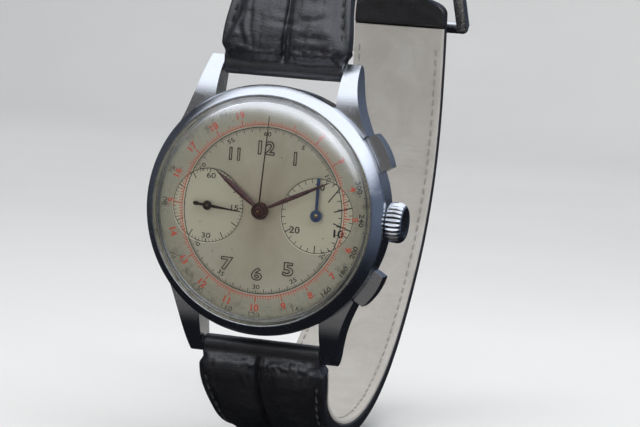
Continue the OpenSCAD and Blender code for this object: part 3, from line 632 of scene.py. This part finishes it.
black.arc(0, 0, TRACK_R, 0.13)
for i in range(300):
    a = i * 1.2
    numbered, whole, fresh = i % 25 == 0, i % 5 == 0, 24 < a < 130
    inner = TRACK_R - (0.50 if numbered else 0.66 if whole else 0.52 if fresh else 0.36)
    clear = on_dial(*polar(a, (inner + TRACK_R) / 2), 0.15)
    if whole and (clear or a < 180):
        black.tick(0, 0, a, inner, TRACK_R, 0.12 if fresh else 0.10)
    elif clear:
        (black if fresh else umber).tick(0, 0, a, inner, TRACK_R, 0.085 if fresh else 0.07)
for m in range(5, 65, 5):
    a = m * 6
    x, y = polar(a, TRACK_R - 0.98)
    if on_dial(x, y, -0.1):
        black.text(str(m), x, y, 0.66, reading(a), 1.3, 0.014)

red.arc(0, 0, TRACK_R + 0.36, 0.11)
for tenth in range(0, 200):
    a = tenth * 1.8
    r0 = TRACK_R + 0.36
    r1 = r0 + (0.98 if tenth % 10 == 0 else 0.72 if tenth % 5 == 0 else 0.46)
    red.tick(0, 0, a, r0, r1, 0.17 if tenth % 10 == 0 else 0.11)
for km in range(2, 20):
    a = km * 18
    x, y = polar(a, TRACK_R + 2.1)
    red.text(str(km), x, y, 1.0, reading(a), 1.1, 0.03)

SPEEDS = (300, 240, 200, 180, 160, 140, 120, 110, 100, 90, 80, 75, 70, 65, 60)
for k, speed in enumerate(SPEEDS):
    a = 3600 / speed * 6
    x, y = polar(a, TRACK_R + 3.2)
    (black if 60 < a < 150 else grey).text(str(speed), x, y, 0.95, reading(a), 1.0, 0.02)
    follow = SPEEDS[k + 1] if speed > 60 else 55
    a = 3600 / ((speed + follow) / 2) * 6
    x, y = polar(a, TRACK_R + 4.05)
    grey.text(str((speed + follow) // 2), x, y, 0.66, reading(a), 1.0, 0.015)
for i in range(240):
    a = i * 1.5
    grey.tick(0, 0, a, TRACK_R + 2.42, TRACK_R + (2.68 if i % 4 == 0 else 2.52), 0.06)

hours = Ink(0.008, 0.02)


def outlined(word, x, y, size, wide, line=0.092, overlap=0.04):
    """An open numeral drawn as a thin raised line along its outline."""
    me = word_mesh(word, 0.022, 5, 1.08)
    uses = {}
    for p in me.polygons:
        for e in p.edge_keys:
            uses[e] = uses.get(e, 0) + 1
    co = np.array([v.co[:2] for v in me.vertices])
    co -= (co.min(0) + co.max(0)) / 2
    co *= size / (co[:, 1].max() - co[:, 1].min())
    co[:, 0] *= wide
    for (a, b), n in uses.items():
        d = co[b] - co[a]
        length = np.hypot(*d)
        if n > 1 or length < 1e-6:
            continue
        d /= length
        s = np.array((-d[1], d[0])) * line
        d *= overlap
        p, q = co[a], co[b]
        hours.shape([tuple(v + (x, y)) for v in (p - d + s, p - d - s, q + d - s, q + d + s)])


HOUR_NUMERALS = (
    ("12", 0.0, 9.35, 1.95, 1.12), ("1", 4.6, 8.15, 1.9, 0.95), ("11", -4.95, 8.05, 1.8, 0.95),
    ("5", 4.8, -8.3, 1.95, 1.38), ("6", -0.05, -9.5, 1.8, 1.42), ("7", -4.9, -8.4, 1.9, 1.4),
)
for word, x, y, size, wide in HOUR_NUMERALS:
    outlined(word, x, y, size, wide)

small, bold = Ink(0.006, 0.006), Ink(0.006, 0.007)
EDGE = REGISTER_R - 0.16
for i in range(60):
    if i % 5 == 0:
        small.tick(-REGISTER_X, 0, i * 6, EDGE - (0.55 if i in (0, 15, 30) else 1.1), EDGE, 0.15)
    else:
        small.tick(-REGISTER_X, 0, i * 6, EDGE - 0.42, EDGE, 0.085)
small.arc(-REGISTER_X, 0, EDGE, 0.10, n=180)
for word, a, r in (("60", 2, 4.5), ("15", 90, 4.25), ("30", 180, 4.55)):
    x, y = polar(a, r, -REGISTER_X)
    small.text(word, x, y, 0.82, 0, 1.35, 0.012)
for i in range(30):
    a = i * 12
    if i in (3, 6, 9):
        bold.tick(REGISTER_X, 0, a, 2.7, REGISTER_R - 0.05, 0.18)
    elif i % 5 == 0:
        small.tick(REGISTER_X, 0, a, EDGE - 1.15, EDGE, 0.15)
    else:
        small.tick(REGISTER_X, 0, a, EDGE - 0.62, EDGE, 0.10)
small.arc(REGISTER_X, 0, EDGE, 0.10, n=180)
RECORDER_NUMERALS = (
    ("10", 123, 4.2, 1.12, bold), ("20", 234.5, 4.05, 1.02, small), ("30", 2, 4.3, 0.95, small),
)
for word, a, r, size, mark in RECORDER_NUMERALS:
    x, y = polar(a, r, REGISTER_X)
    mark.text(word, x, y, size, 0, 1.2, 0.03 if mark is bold else 0.015)

black.build("print_minute_track", ink_black)
umber.build("print_fifth_ticks", ink_umber)
grey.build("print_outer_scale", ink_grey)
red.build("print_distance_scale", ink_red)
hours.build("print_hour_numerals", ink_umber)
small.build("print_registers", ink_black)
bold.build("print_recorder_lines", ink_bold)


def lathe(name, profile, mat, body, cx=0.0, cy=0.0, n=128, sharp=35):
    """A ring turned about a line through (cx, cy) from (radius, height) points."""
    verts = []
    for i in range(n):
        a = 2 * math.pi * i / n
        verts += [W(cx + r * math.cos(a), cy + r * math.sin(a), z) for r, z in profile]
    faces = quads(n, len(profile), ring=True)
    return make(name, verts, faces, mat, body, sharp=sharp, weld=0.0005)


def curve(o, q, r, v, t):
    """A smooth curve from q to r, with o before it and v after it, at a share t of the way."""
    square, cube = 2 * o - 5 * q + 4 * r - v, 3 * q - o - 3 * r + v
    return 0.5 * (2 * q + (r - o) * t + square * t * t + cube * t ** 3)


def eased(points, parts=6):
    """Points along a smooth curve through the given ones."""
    p = [points[0]] + list(points) + [points[-1]]
    out = []
    for a, b, c, d in zip(p, p[1:], p[2:], p[3:]):
        for i in range(parts):
            out.append(tuple(curve(*four, i / parts) for four in zip(a, b, c, d)))
    return out + [points[-1]]


# The crystal's outer and inner faces, as (radius, height) from rim to middle and back.
dome = [(17.06, 0.10), (17.06, 1.40)] + eased([
    (17.03, 1.55), (16.85, 1.90), (16.40, 2.28), (15.60, 2.66), (14.20, 3.03),
    (12.40, 3.30), (9.80, 3.50), (6.50, 3.63), (3.20, 3.69), (0.004, 3.70)])
hollow = eased([
    (0.004, 2.75), (4.00, 2.72), (8.00, 2.62), (11.00, 2.46), (13.40, 2.22),
    (15.00, 1.90), (15.80, 1.55), (16.20, 1.05), (16.34, 0.60)]) + [(16.36, 0.10)]
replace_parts(lathe("crystal_dome", dome + hollow, glass, "case", n=160, sharp=50), "crystal")


def fluted_crown(name, mat, body):
    """The winding crown: rounded ribs that fade into its shoulders, and a slightly dished end."""
    ribs, depth_at = 26, -3.1
    profile = [
        (18.85, 0.70, 0.0), (18.85, 2.35, 0.0), (18.88, 2.62, 0.06), (18.98, 2.84, 0.16),
        (19.20, 2.99, 0.24), (19.60, 3.05, 0.28), (20.30, 3.05, 0.28), (20.75, 2.97, 0.26),
        (21.02, 2.80, 0.18), (21.20, 2.58, 0.08), (21.30, 2.38, 0.02), (21.34, 2.22, 0.0),
        (21.30, 2.05, 0.0), (21.24, 1.60, 0.0), (21.20, 0.80, 0.0), (21.19, 0.004, 0.0)]
    n, m = ribs * 10, len(profile)
    verts = []
    for i in range(n):
        a = 2 * math.pi * i / n
        groove = (0.5 - 0.5 * math.cos(ribs * a)) ** 0.8
        for x, r, cut in profile:
            q = r - cut * groove
            verts.append(W(x, q * math.cos(a), depth_at + q * math.sin(a)))
    faces = quads(n, m, ring=True, wrap=False, flip=True)
    faces.append([i * m for i in range(n)])
    return make(name, verts, faces, mat, body, weld=0.0005, sharp=60)


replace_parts(fluted_crown("crown_fluted", case_steel, "crown"), "crown")

rim = [(REGISTER_R + out, height) for out, height in (
    (-0.10, -0.098), (-0.02, -0.01), (0.05, 0.012), (0.10, 0.002), (0.06, -0.05), (-0.04, -0.098))]
for side, tag in ((-1, "seconds"), (1, "minutes")):
    lathe("register_rim_" + tag, rim, dial_face, "case", side * REGISTER_X, 0)


# ---------------------------------------------------------------- hands

def leaf_hand(name, replaced, length, half, neck, angle, low, top, mat, body, hub, hub_top):
    """A leaf hand with a raised middle line, and its round boss."""
    a = math.radians(angle)
    across, along = Vector((math.cos(a), -math.sin(a))), Vector((math.sin(a), math.cos(a)))
    verts, n = [], 40
    for i in range(n + 1):
        t = i / n
        y = length * t
        share = min(1.0, max(0.0, (t - 0.02) / 0.98))
        body_w = half * math.sin(math.pi * share ** 0.82) ** 0.85 if t < 1 else 0
        w = max(neck * (1 - t), body_w, 0.03)
        crest = top - (top - low) * 0.35 * (w < neck)
        for x, z in ((-w, low), (-w, low + 0.03), (-w * 0.5, (low + 0.03 + crest) / 2 + 0.012), (0, crest),
                     (w * 0.5, (low + 0.03 + crest) / 2 + 0.012), (w, low + 0.03), (w, low)):
            p = across * x + along * y
            verts.append(W(p.x, p.y, z))
    m = 7
    faces = quads(n + 1, m, flip=True)
    faces += [list(range(m)), [n * m + j for j in range(m)][::-1]]
    obj = make(name, verts, faces, mat, body, sharp=25)
    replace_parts(obj, replaced)
    boss = [(0.60, low - 0.03), (hub, low - 0.03), (hub + 0.02, low + 0.05),
            (hub - 0.06, hub_top - 0.02), (hub - 0.14, hub_top), (0.60, hub_top)]
    lathe(name + "_boss", boss, boss_metal, body, sharp=30)


leaf_hand("hour_hand_leaf", "hour_hand", 9.4, 0.46, 0.20, -54, 0.70, 0.92,
          leaf_metal, "hour_train", 1.30, 0.92)
leaf_hand("minute_hand_leaf", "minute_hand", 12.2, 0.34, 0.19, 64, 1.12, 1.34,
          leaf_metal, "minute_train", 1.24, 1.34)

for name in ("chronograph_hand", "small_seconds_hand", "minute_recorder_hand"):
    edge(nodes[name], 0.03, 40)
stepped = [(0.16, 1.50), (1.10, 1.50), (1.14, 1.56), (1.10, 1.74), (0.98, 1.80), (0.88, 1.81), (0.84, 1.72),
           (0.78, 1.72), (0.74, 1.82), (0.55, 1.83), (0.50, 1.95), (0.42, 2.02), (0.16, 2.03)]
lathe("chronograph_boss", stepped, boss_metal, "chronograph_train", sharp=30)
button = [(0.16, 0.30), (0.70, 0.30), (0.72, 0.36), (0.64, 0.46), (0.34, 0.52), (0.16, 0.53)]
lathe("small_seconds_boss", button, black_metal, "seconds_train", -REGISTER_X, 0, 48)
washer = [(0.30, 0.30), (0.80, 0.30), (0.83, 0.36), (0.76, 0.46), (0.30, 0.47)]
lathe("recorder_boss", washer, blue_metal, "recorder_train", REGISTER_X, 0, 48)
cap = [(0.02, 0.44), (0.29, 0.44), (0.30, 0.50), (0.20, 0.56), (0.02, 0.58)]
lathe("recorder_cap", cap, gilt, "recorder_train", REGISTER_X, 0, 32)

for name, width in BEVEL.items():
    edge(nodes[name], width)


# ---------------------------------------------------------------- strap

PIN_Y, PIN_Z = 21.3, -5.1
STEP_12 = 4.8
TURNS_12 = (5, 14, 23, 32, 41, 50, 59, 68, 77, 86, 96, 105, 114, 123, 123, 123, 123)
STEP_6 = 4.9
TURNS_6 = (16, 37, 55, 71, 82, 92, 101, 109, 117, 124, 131, 136,
           141, 145, 150, 156, 162, 168, 174, 179, 183, 185, 187, 188)
PAD, THIN = 4.2, 2.5


class Path:
    """The strap's middle line in the loop plane, as (height, depth) points, with its outward side."""

    def __init__(self, side, step, turns, spacing=0.24):
        self.side = side
        p = [np.array((side * PIN_Y, PIN_Z))]
        for t in turns:
            a = math.radians(t)
            p.append(p[-1] + step * np.array((side * math.cos(a), -math.sin(a))))
        p = np.array([2 * p[0] - p[1]] + p + [2 * p[-1] - p[-2]])
        fine = []
        for i in range(1, len(p) - 2):
            for t in np.linspace(0, 1, 24, endpoint=False):
                fine.append(curve(*p[i - 1:i + 3], t))
        fine.append(p[-2])
        fine = np.array(fine)
        s = np.concatenate(([0], np.cumsum(np.hypot(*np.diff(fine, axis=0).T))))
        self.length = s[-1]
        self.n = int(self.length / spacing)
        self.s = np.linspace(0, self.length, self.n + 1)
        self.p = np.stack([np.interp(self.s, s, fine[:, k]) for k in (0, 1)], 1)
        t = np.gradient(self.p, axis=0)
        self.t = t / np.hypot(*t.T)[:, None]
        self.out = np.stack((-side * self.t[:, 1], side * self.t[:, 0]), 1)
        self.cells = len(turns)

    def half(self, s):
        """Half of the strap's thickness at a distance along it."""
        i = s / self.length * self.cells
        full = np.maximum(THIN / 2, PAD / 2 - (PAD - THIN) / 2 * (i - 1) / (self.cells * 0.55))
        return np.minimum(full, 1.5 + (full - 1.5) * np.clip(s / 3.2, 0, 1) ** 0.6)

    def width(self, s):
        """Half width: straight taper in depth, as on the carried solid."""
        z = np.interp(s, self.s, self.p[:, 1])
        flare = step(1.7, 3.2, s) * (1 - step(4.0, 12.0, s))
        return np.interp(-z, (-PIN_Z, 58.0), (9.4, 8.1)) + 0.7 * flare

    def at(self, s):
        i = min(max(s / self.length * self.n, 0), self.n)
        j = int(min(i, self.n - 1))
        f = i - j
        return (self.p[j] * (1 - f) + self.p[j + 1] * f, self.t[j] * (1 - f) + self.t[j + 1] * f,
                self.out[j] * (1 - f) + self.out[j + 1] * f)


def lattice(seed, size=64):
    return np.random.RandomState(seed).rand(size, size)


def smooth_noise(grid, u, v):
    """Value noise on a repeating lattice."""
    n = grid.shape[0]
    iu, iv = np.floor(u).astype(int), np.floor(v).astype(int)
    fu, fv = u - iu, v - iv
    fu, fv = fu * fu * (3 - 2 * fu), fv * fv * (3 - 2 * fv)
    g = lambda a, b: grid[a % n, b % n]
    return (g(iu, iv) * (1 - fu) * (1 - fv) + g(iu + 1, iv) * fu * (1 - fv) + g(iu, iv + 1) * (1 - fu) * fv
            + g(iu + 1, iv + 1) * fu * fv) * 2 - 1


def step(a, b, x):
    t = np.clip((x - a) / (b - a), 0, 1)
    return t * t * (3 - 2 * t)


MARGIN = 1.9
STITCH_IN = 1.15


def padding(path, s):
    """Share of the padding at a distance along a strap: none at the pin's fold or near the free end."""
    return step(0.5, 2.0, s) * (1 - step(path.length * 0.52, path.length * 0.72, s))


def rounded(path, s, tip, slack):
    """Share of the width that is left where the free end is rounded off."""
    along = np.clip((s - (path.length - tip)) / (tip * slack), 0, 1)
    return np.sqrt(np.clip(1 - along ** 2.4, 0.0, 1))


def hill(x, width):
    """A smooth hill one unit high."""
    return np.exp(-(x / width) ** 2)


def columns(fine):
    """Places across a strap from one edge to the other: (share of the width, corner turn)."""
    inner = np.linspace(-1, 1, fine)
    turn = [math.radians(a) for a in (90, 67, 45, 22)]
    left = [("c", -1, a) for a in turn]
    return left + [("m", u, 0) for u in inner] + [("c", 1, a) for a in turn[::-1]]


def surface(path, seed, fine, upper, tip=None):
    """Rows of points of one side of a strap, as arrays of (x, height, depth)."""
    g1, g2, g3 = lattice(seed), lattice(seed + 1), lattice(seed + 2)
    s = path.s
    half, width = path.half(s), path.width(s)
    if tip:
        width = width * rounded(path, s, tip, 1.02)
    rows = []
    corner = 0.42
    for kind, u, turn in columns(fine):
        if kind == "m":
            x = u * (width - corner)
            drop = np.zeros_like(s)
        else:
            x = u * (width - corner + corner * math.sin(turn))
            drop = corner * (1 - math.cos(turn)) * np.ones_like(s)
        drop = np.minimum(drop, 1.0)
        from_edge = width - np.abs(x)
        if upper:
            pad = padding(path, s)
            core = 1.30 + (half - 1.30) * step(0.5, 2.2, s)
            full = core + 0.30 * pad
            border = 0.35 + (MARGIN - 0.35) * step(1.6, 8.0, s)
            margin = np.minimum(core, 1.25 + 0.25 * (1 - pad))
            shoulder = step(border - 0.35, border + 1.1, from_edge)
            wander = 0.30 * smooth_noise(g3, s * 0.12, np.full_like(s, 3.3)) - 0.2
            u = np.clip(np.abs(x - wander) / np.maximum(width - border, 0.1), 0, 1)
            lobe = 0.62 * pad * (4 * u * (1 - u) - 0.70)
            top = margin + (full + lobe - margin) * shoulder
            crease = pad * (0.75 * hill(x - wander, 0.26) + 0.25 * hill(x - wander, 0.9))
            near = 1 - step(6.0, 24.0, s)
            on_pad = step(0.4, 1.8, from_edge - border) * step(0.8, 2.0, s)
            folds = smooth_noise(g1, s * 1.1 + 0.8 * smooth_noise(g2, s * 0.4, x * 0.3), x * 0.22 + 7)
            streaks = smooth_noise(g2, x * 1.35 + 0.9 * smooth_noise(g1, x * 0.4, s * 0.35), s * 0.20 + 11)
            roll = (0.10 * folds * (0.45 + near) + 0.10 * streaks * (0.5 + near)) * on_pad
            beads = smooth_noise(g2, x * 2.3, s * 1.9) * step(-3.5, 0.0, x)
            beads = beads + 0.5 * smooth_noise(g1, x * 1.6, s * 1.5)
            pucker = 0.21 * beads * hill(s - 2.0, 1.0)
            broad = 0.08 * smooth_noise(g3, s * 0.35, x * 0.3 + 20) * on_pad
            groove = 0.13 * hill(from_edge - STITCH_IN, 0.28) * step(5.0, 7.0, s)
            offset = top - crease + roll + pucker + broad - groove
            offset = np.minimum(offset, half + 0.5)
        else:
            offset = half + 0.03 * smooth_noise(g1, s * 0.8, x * 0.5)
        offset = offset - drop
        rows.append((x, offset))
    return s, rows


def strap(name, path, seed, lined, body, end_ring, tip=None, fine=85):
    """A padded strap half: its skin runs along the outside, round both ends and back along the inside."""
    s, top_rows = surface(path, seed, fine, True, tip)
    _, low_rows = surface(path, seed + 9, fine, False, tip)
    lo, hi = lined
    inset = 0.85 * step(lo - 0.3, lo + 0.3, s) * (1 - step(hi - 0.3, hi + 0.3, s))
    grid = []
    pin = np.array((path.side * PIN_Y, PIN_Z))
    end = path.p[-1]
    arc = np.linspace(0, math.pi, 12)[1:-1]
    for (x, off), (_, low) in zip(top_rows, low_rows):
        column = [(x[i], path.p[i] + path.out[i] * off[i]) for i in range(len(s))]
        if end_ring:
            r = off[-1]
            column += [(x[-1], end + r * (math.cos(a) * path.out[-1] + math.sin(a) * path.t[-1]))
                       for a in arc]
        column += [(x[i], path.p[i] - path.out[i] * (low[i] - inset[i])) for i in range(len(s))[::-1]]
        r0, r1 = low[0], off[0]
        for a in arc:
            r = r0 + (r1 - r0) * a / math.pi
            column.append((x[0], pin + r * (-math.cos(a) * path.out[0] - math.sin(a) * path.t[0])))
        grid.append(column)
    rows = len(grid[0])
    verts = [W(x, p[0], p[1]) for column in grid for x, p in column]
    faces = quads(len(grid), rows, flip=True)
    m = len(s)
    for k in (0, len(grid) - 1):
        base = k * rows
        far = m + (len(arc) if end_ring else 0)
        for i in range(m - 1):
            q = [base + i, base + i + 1, base + far + (m - 2 - i), base + far + (m - 1 - i)]
            faces.append(q if k == 0 else q[::-1])
    return make(name, verts, faces, black_leather, body, weld=0.001)


def lining_sheet(name, path, seed, lo, hi, body, tip=None, fine=33):
    """The pale inner leather, a thin sheet glued behind the strap."""
    keep = (path.s >= lo) & (path.s <= hi)
    s, p, out = path.s[keep], path.p[keep], path.out[keep]
    g = lattice(seed)
    half, width = path.half(s), path.width(s) - 0.08
    if tip:
        width = width * rounded(path, s, tip, 1.04)
    grid = []
    profile = [(-1, 0.80), (-1, 0.25), (-0.985, 0.08)] + [(u, 0.0) for u in np.linspace(-0.96, 0.96, fine)]
    profile += [(0.985, 0.08), (1, 0.25), (1, 0.80)] + [(u, 0.80) for u in (0.6, 0.2, -0.2, -0.6)]
    for u, up in profile:
        x = u * width
        wave = 0.045 * smooth_noise(g, s * 0.55, x * 0.25 + 5) + 0.02 * smooth_noise(g, s * 1.7 + 9, x * 0.9)
        off = -half + up + (wave + 0.03 if up < 0.3 else 0)
        grid.append([W(x[i], *(p[i] + out[i] * off[i])) for i in range(len(s))])
    n = len(s)
    verts = [v for column in grid for v in column]
    faces = quads(len(grid), n, ring=True, wrap=False)
    faces += [[i * n for i in range(len(grid))], [i * n + n - 1 for i in range(len(grid))][::-1]]
    return make(name, verts, faces, pale_lining, body, weld=0.001)


def stitches(name, path, first, last, body, inside=False):
    """Two rows of thread along the edges, each stitch a plump capsule pulled into the leather."""
    verts, faces = [], []
    pitch, length, radius = 1.75, 1.28, 0.16
    count = int((last - first) / pitch)
    for k in range(count):
        s = first + k * pitch
        p, t, out = path.at(s)
        w = float(path.width(np.array([s]))[0])
        half = float(path.half(np.array([s]))[0])
        pad = float(padding(path, s))
        up = -half - 0.02 if inside else min(half, 1.30 + 0.25 * (1 - pad)) - 0.02
        for edge_side in (-1, 1):
            lean = random.uniform(-0.05, 0.05)
            base = len(verts)
            for i in range(9):
                f = -1 + 2 * i / 8
                r = radius * math.sqrt(max(0.0, 1 - abs(f) ** 3.0)) + 0.012
                sink = 0.10 * abs(f) ** 3
                for j in range(8):
                    a = 2 * math.pi * j / 8
                    x = edge_side * (w - STITCH_IN) + lean * f + r * math.cos(a)
                    h = up + (-1 if inside else 1) * (r * math.sin(a) * 0.8 - sink + 0.03)
                    q = p + t * f * length / 2 + out * h
                    verts.append(W(x, q[0], q[1]))
            faces += quads(9, 8, flip=True, base=base)
            faces += [[base + j for j in range(8)], [base + 64 + j for j in range(8)][::-1]]
    mat, slot = (pale_sewing, "lining_leather") if inside else (sewing, "black_leather")
    return make(name, verts, faces, mat, body)


path_12 = Path(1, STEP_12, TURNS_12)
path_6 = Path(-1, STEP_6, TURNS_6)
upper = strap("strap_12_padded", path_12, 11, (3.0, 57.5), "strap_12", True)
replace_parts(upper, "strap_12_leather")
lower = strap("strap_6_padded", path_6, 31, (3.0, path_6.length - 5.0), "strap_6", False, tip=3.0)
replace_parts(lower, "strap_6_leather")
inner_12 = lining_sheet("strap_12_lining_sheet", path_12, 51, 3.4, 57.0, "strap_12")
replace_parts(inner_12, "strap_12_lining")
inner_6 = lining_sheet("strap_6_lining_sheet", path_6, 52, 3.4, path_6.length - 5.2, "strap_6")
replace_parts(inner_6, "strap_6_lining")
stitches("strap_12_stitches", path_12, 5.0, 60.0, "strap_12")
stitches("strap_6_stitches", path_6, 5.0, path_6.length - 4.0, "strap_6")
stitches("strap_12_back_stitches", path_12, 5.0, 56.0, "strap_12", True)
stitches("strap_6_back_stitches", path_6, 5.0, path_6.length - 6.4, "strap_6", True)


def keeper(name, along, length, body, replaced):
    """A flat leather loop with rounded edges."""
    p, t, out = path_12.at(path_12.length + along)
    w, low, high = 8.1 + (0.32 if along > -8 else 0.50), -THIN / 2 - 0.20, -THIN / 2 - 0.15 + 2 * THIN + 0.45
    loop, n, r = [], 10, 1.0
    corners = ((w - r, high - r, 0), (-w + r, high - r, 90), (-w + r, low + r, 180), (w - r, low + r, 270))
    for cx, cy, start in corners:
        for i in range(n + 1):
            a = math.radians(start + 90 * i / n)
            loop.append((cx + r * math.cos(a), cy + r * math.sin(a), math.cos(a), math.sin(a)))
    thick = 0.85
    ring = [(-1, 0.0), (-1, 0.55), (-0.96, 0.8), (-0.86, 0.93), (-0.5, 1.0), (0, 1.03), (0.5, 1.0),
            (0.86, 0.93), (0.96, 0.8), (1, 0.55), (1, 0.0), (0.5, 0.0), (0, 0.0), (-0.5, 0.0)]
    verts = []
    grid = lattice(int(length * 100))
    for i, (x, h, cx, cy) in enumerate(loop):
        sag = -0.35 * (1 - (x / w) ** 2) if h > 0 else 0.0
        for f, k in ring:
            lift = k * thick + 0.03 * float(smooth_noise(grid, np.array(i * 0.45), np.array(f * 1.5 + 4)))
            q = p + t * f * length / 2 + out * (h + cy * lift + sag)
            verts.append(W(x + cx * lift, q[0], q[1]))
    faces = quads(len(loop), len(ring), ring=True)
    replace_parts(make(name, verts, faces, fold_leather, body), replaced)


keeper("fixed_keeper_loop", -5.6, 4.5, "strap_12", "fixed_keeper")
keeper("free_keeper_loop", -11.6, 5.0, "free_keeper", "free_keeper")


# ---------------------------------------------------------------- stage, light, camera

def studio():
    lo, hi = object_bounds()
    floor_z = lo.z
    verts = []
    flat_to, bend = 1.1, 0.4
    profile = [(-2.4, 0.0), (flat_to, 0.0)]
    for i in range(1, 17):
        a = math.pi / 2 * i / 16
        profile.append((flat_to + bend * math.sin(a), bend * (1 - math.cos(a))))
    profile.append((flat_to + bend, 2.2))
    for x in (-3.0, 3.0):
        verts += [(x, y, floor_z + z) for y, z in profile]
    n = len(profile)
    faces = [[i, n + i, n + i + 1, i + 1] for i in range(n - 1)]
    me = bpy.data.meshes.new("floor")
    me.from_pydata(verts, [], faces)
    me.materials.append(floor_paint("floor_paint"))
    for p in me.polygons:
        p.use_smooth = True
    floor = add("floor", me)
    floor.visible_glossy = floor.visible_transmission = False


def softbox(name, place, aim, size, watts, colour=(1, 1, 1)):
    light = bpy.data.lights.new(name, "AREA")
    light.shape = "RECTANGLE"
    light.size, light.size_y = size
    light.energy = watts
    light.color = colour
    ob = bpy.data.objects.new(name, light)
    ob.location = place
    ob.rotation_mode = "QUATERNION"
    ob.rotation_quaternion = (Vector(aim) - Vector(place)).to_track_quat("-Z", "Y")
    ob.visible_glossy = ob.visible_transmission = False
    bpy.context.scene.collection.objects.link(ob)
    return ob


studio()
softbox("overhead", (0.05, -0.04, 0.40), (0, 0.0, 0.0), (0.50, 0.40), 1.9)
softbox("front_left", (-0.30, -0.55, 0.22), (0, 0, 0), (0.30, 0.40), 0.85)
softbox("right", (0.50, -0.15, 0.25), (0, 0, 0), (0.25, 0.35), 0.6, (0.96, 0.98, 1.0))
softbox("backdrop", (0.0, 0.60, 1.0), (0.0, 1.30, 0.10), (1.8, 0.5), 9.0)


def surroundings():
    """What polish mirrors: a wide light overhead, dim cool walls, a dark floor. Soft light for the rest."""
    world = bpy.data.worlds.new("world")
    bpy.context.scene.world = world
    world.use_nodes = True
    t = world.node_tree
    link = t.links.new
    split = t.nodes.new("ShaderNodeSeparateXYZ")
    link(t.nodes.new("ShaderNodeTexCoord").outputs["Generated"], split.inputs[0])
    x, y, z = split.outputs

    def calc(op, a, b):
        n = t.nodes.new("ShaderNodeMath")
        n.operation = op
        for socket, v in zip(n.inputs, (a, b)):
            if isinstance(v, (int, float)):
                socket.default_value = v
            else:
                link(v, socket)
        return n.outputs[0]

    def ease(value, low, high):
        n = t.nodes.new("ShaderNodeMapRange")
        n.interpolation_type = "SMOOTHSTEP"
        link(value, n.inputs[0])
        n.inputs[1].default_value, n.inputs[2].default_value = low, high
        return n.outputs[0]

    def glow(total, share, colour, strength):
        n = t.nodes.new("ShaderNodeMix")
        n.data_type, n.blend_type, n.clamp_result = "RGBA", "ADD", False
        link(calc("MULTIPLY", share, strength), n.inputs[0])
        n.clamp_factor = False
        if isinstance(total, tuple):
            n.inputs[6].default_value = total
        else:
            link(total, n.inputs[6])
        n.inputs[7].default_value = (*colour, 1)
        return n.outputs[2]

    lean = calc("SUBTRACT", calc("MULTIPLY", x, 0.12), calc("MULTIPLY", y, 0.20))
    above = ease(calc("ADD", z, lean), 0.38, 0.74)
    beside = calc("MULTIPLY", ease(x, 0.45, 0.95), ease(z, -0.65, 0.05))
    opposite = calc("MULTIPLY", ease(calc("MULTIPLY", x, -1.0), 0.4, 0.95), ease(z, -0.5, 0.2))
    facing = ease(calc("MULTIPLY", y, -1.0), 0.62, 1.0)
    seen = glow((0.010, 0.011, 0.014, 1), above, (0.92, 0.96, 1.04), 1.45)
    seen = glow(seen, beside, (0.60, 0.74, 1.06), 0.20)
    seen = glow(seen, opposite, (0.75, 0.82, 1.0), 0.07)
    seen = glow(seen, facing, (1.0, 0.95, 0.90), 0.15)
    behind = calc("MULTIPLY", ease(y, 0.55, 0.95), ease(z, -0.08, 0.20))
    seen = glow(seen, behind, (0.62, 0.74, 1.0), 0.20)
    soft = glow((0.10, 0.103, 0.108, 1), ease(z, -0.4, 0.5), (1.0, 1.0, 1.02), 0.13)
    path = t.nodes.new("ShaderNodeLightPath")
    pick = t.nodes.new("ShaderNodeMix")
    pick.data_type = "RGBA"
    link(calc("MAXIMUM", path.outputs["Is Glossy Ray"], path.outputs["Is Transmission Ray"]), pick.inputs[0])
    link(soft, pick.inputs[6])
    link(seen, pick.inputs[7])
    link(pick.outputs[2], t.nodes["Background"].inputs[0])


surroundings()

YAW, PITCH, ROLL = (math.radians(a) for a in (17.9, 4.2, 4.5))
back = np.array((math.sin(YAW) * math.cos(PITCH), math.sin(PITCH), math.cos(YAW) * math.cos(PITCH)))
right = np.array((math.cos(YAW), 0, -math.sin(YAW)))
up = np.cross(back, right)
cam_right = math.cos(ROLL) * right + math.sin(ROLL) * up
cam_up = -math.sin(ROLL) * right + math.cos(ROLL) * up
target = np.array((9.01, 0.44, 0.0))
camera = bpy.data.cameras.new("camera")
camera.lens, camera.sensor_width = 136.7, 36.0
camera.clip_start, camera.clip_end = 0.01, 20
cam = add("camera", camera)
frame_of = Matrix([(v[0], -v[2], v[1]) for v in (cam_right, cam_up, back)]).transposed().to_4x4()
frame_of.translation = W(*(target + back * 359.5))
cam.matrix_world = frame_of
bpy.context.scene.camera = cam
bpy.context.scene.view_settings.view_transform = "Standard"
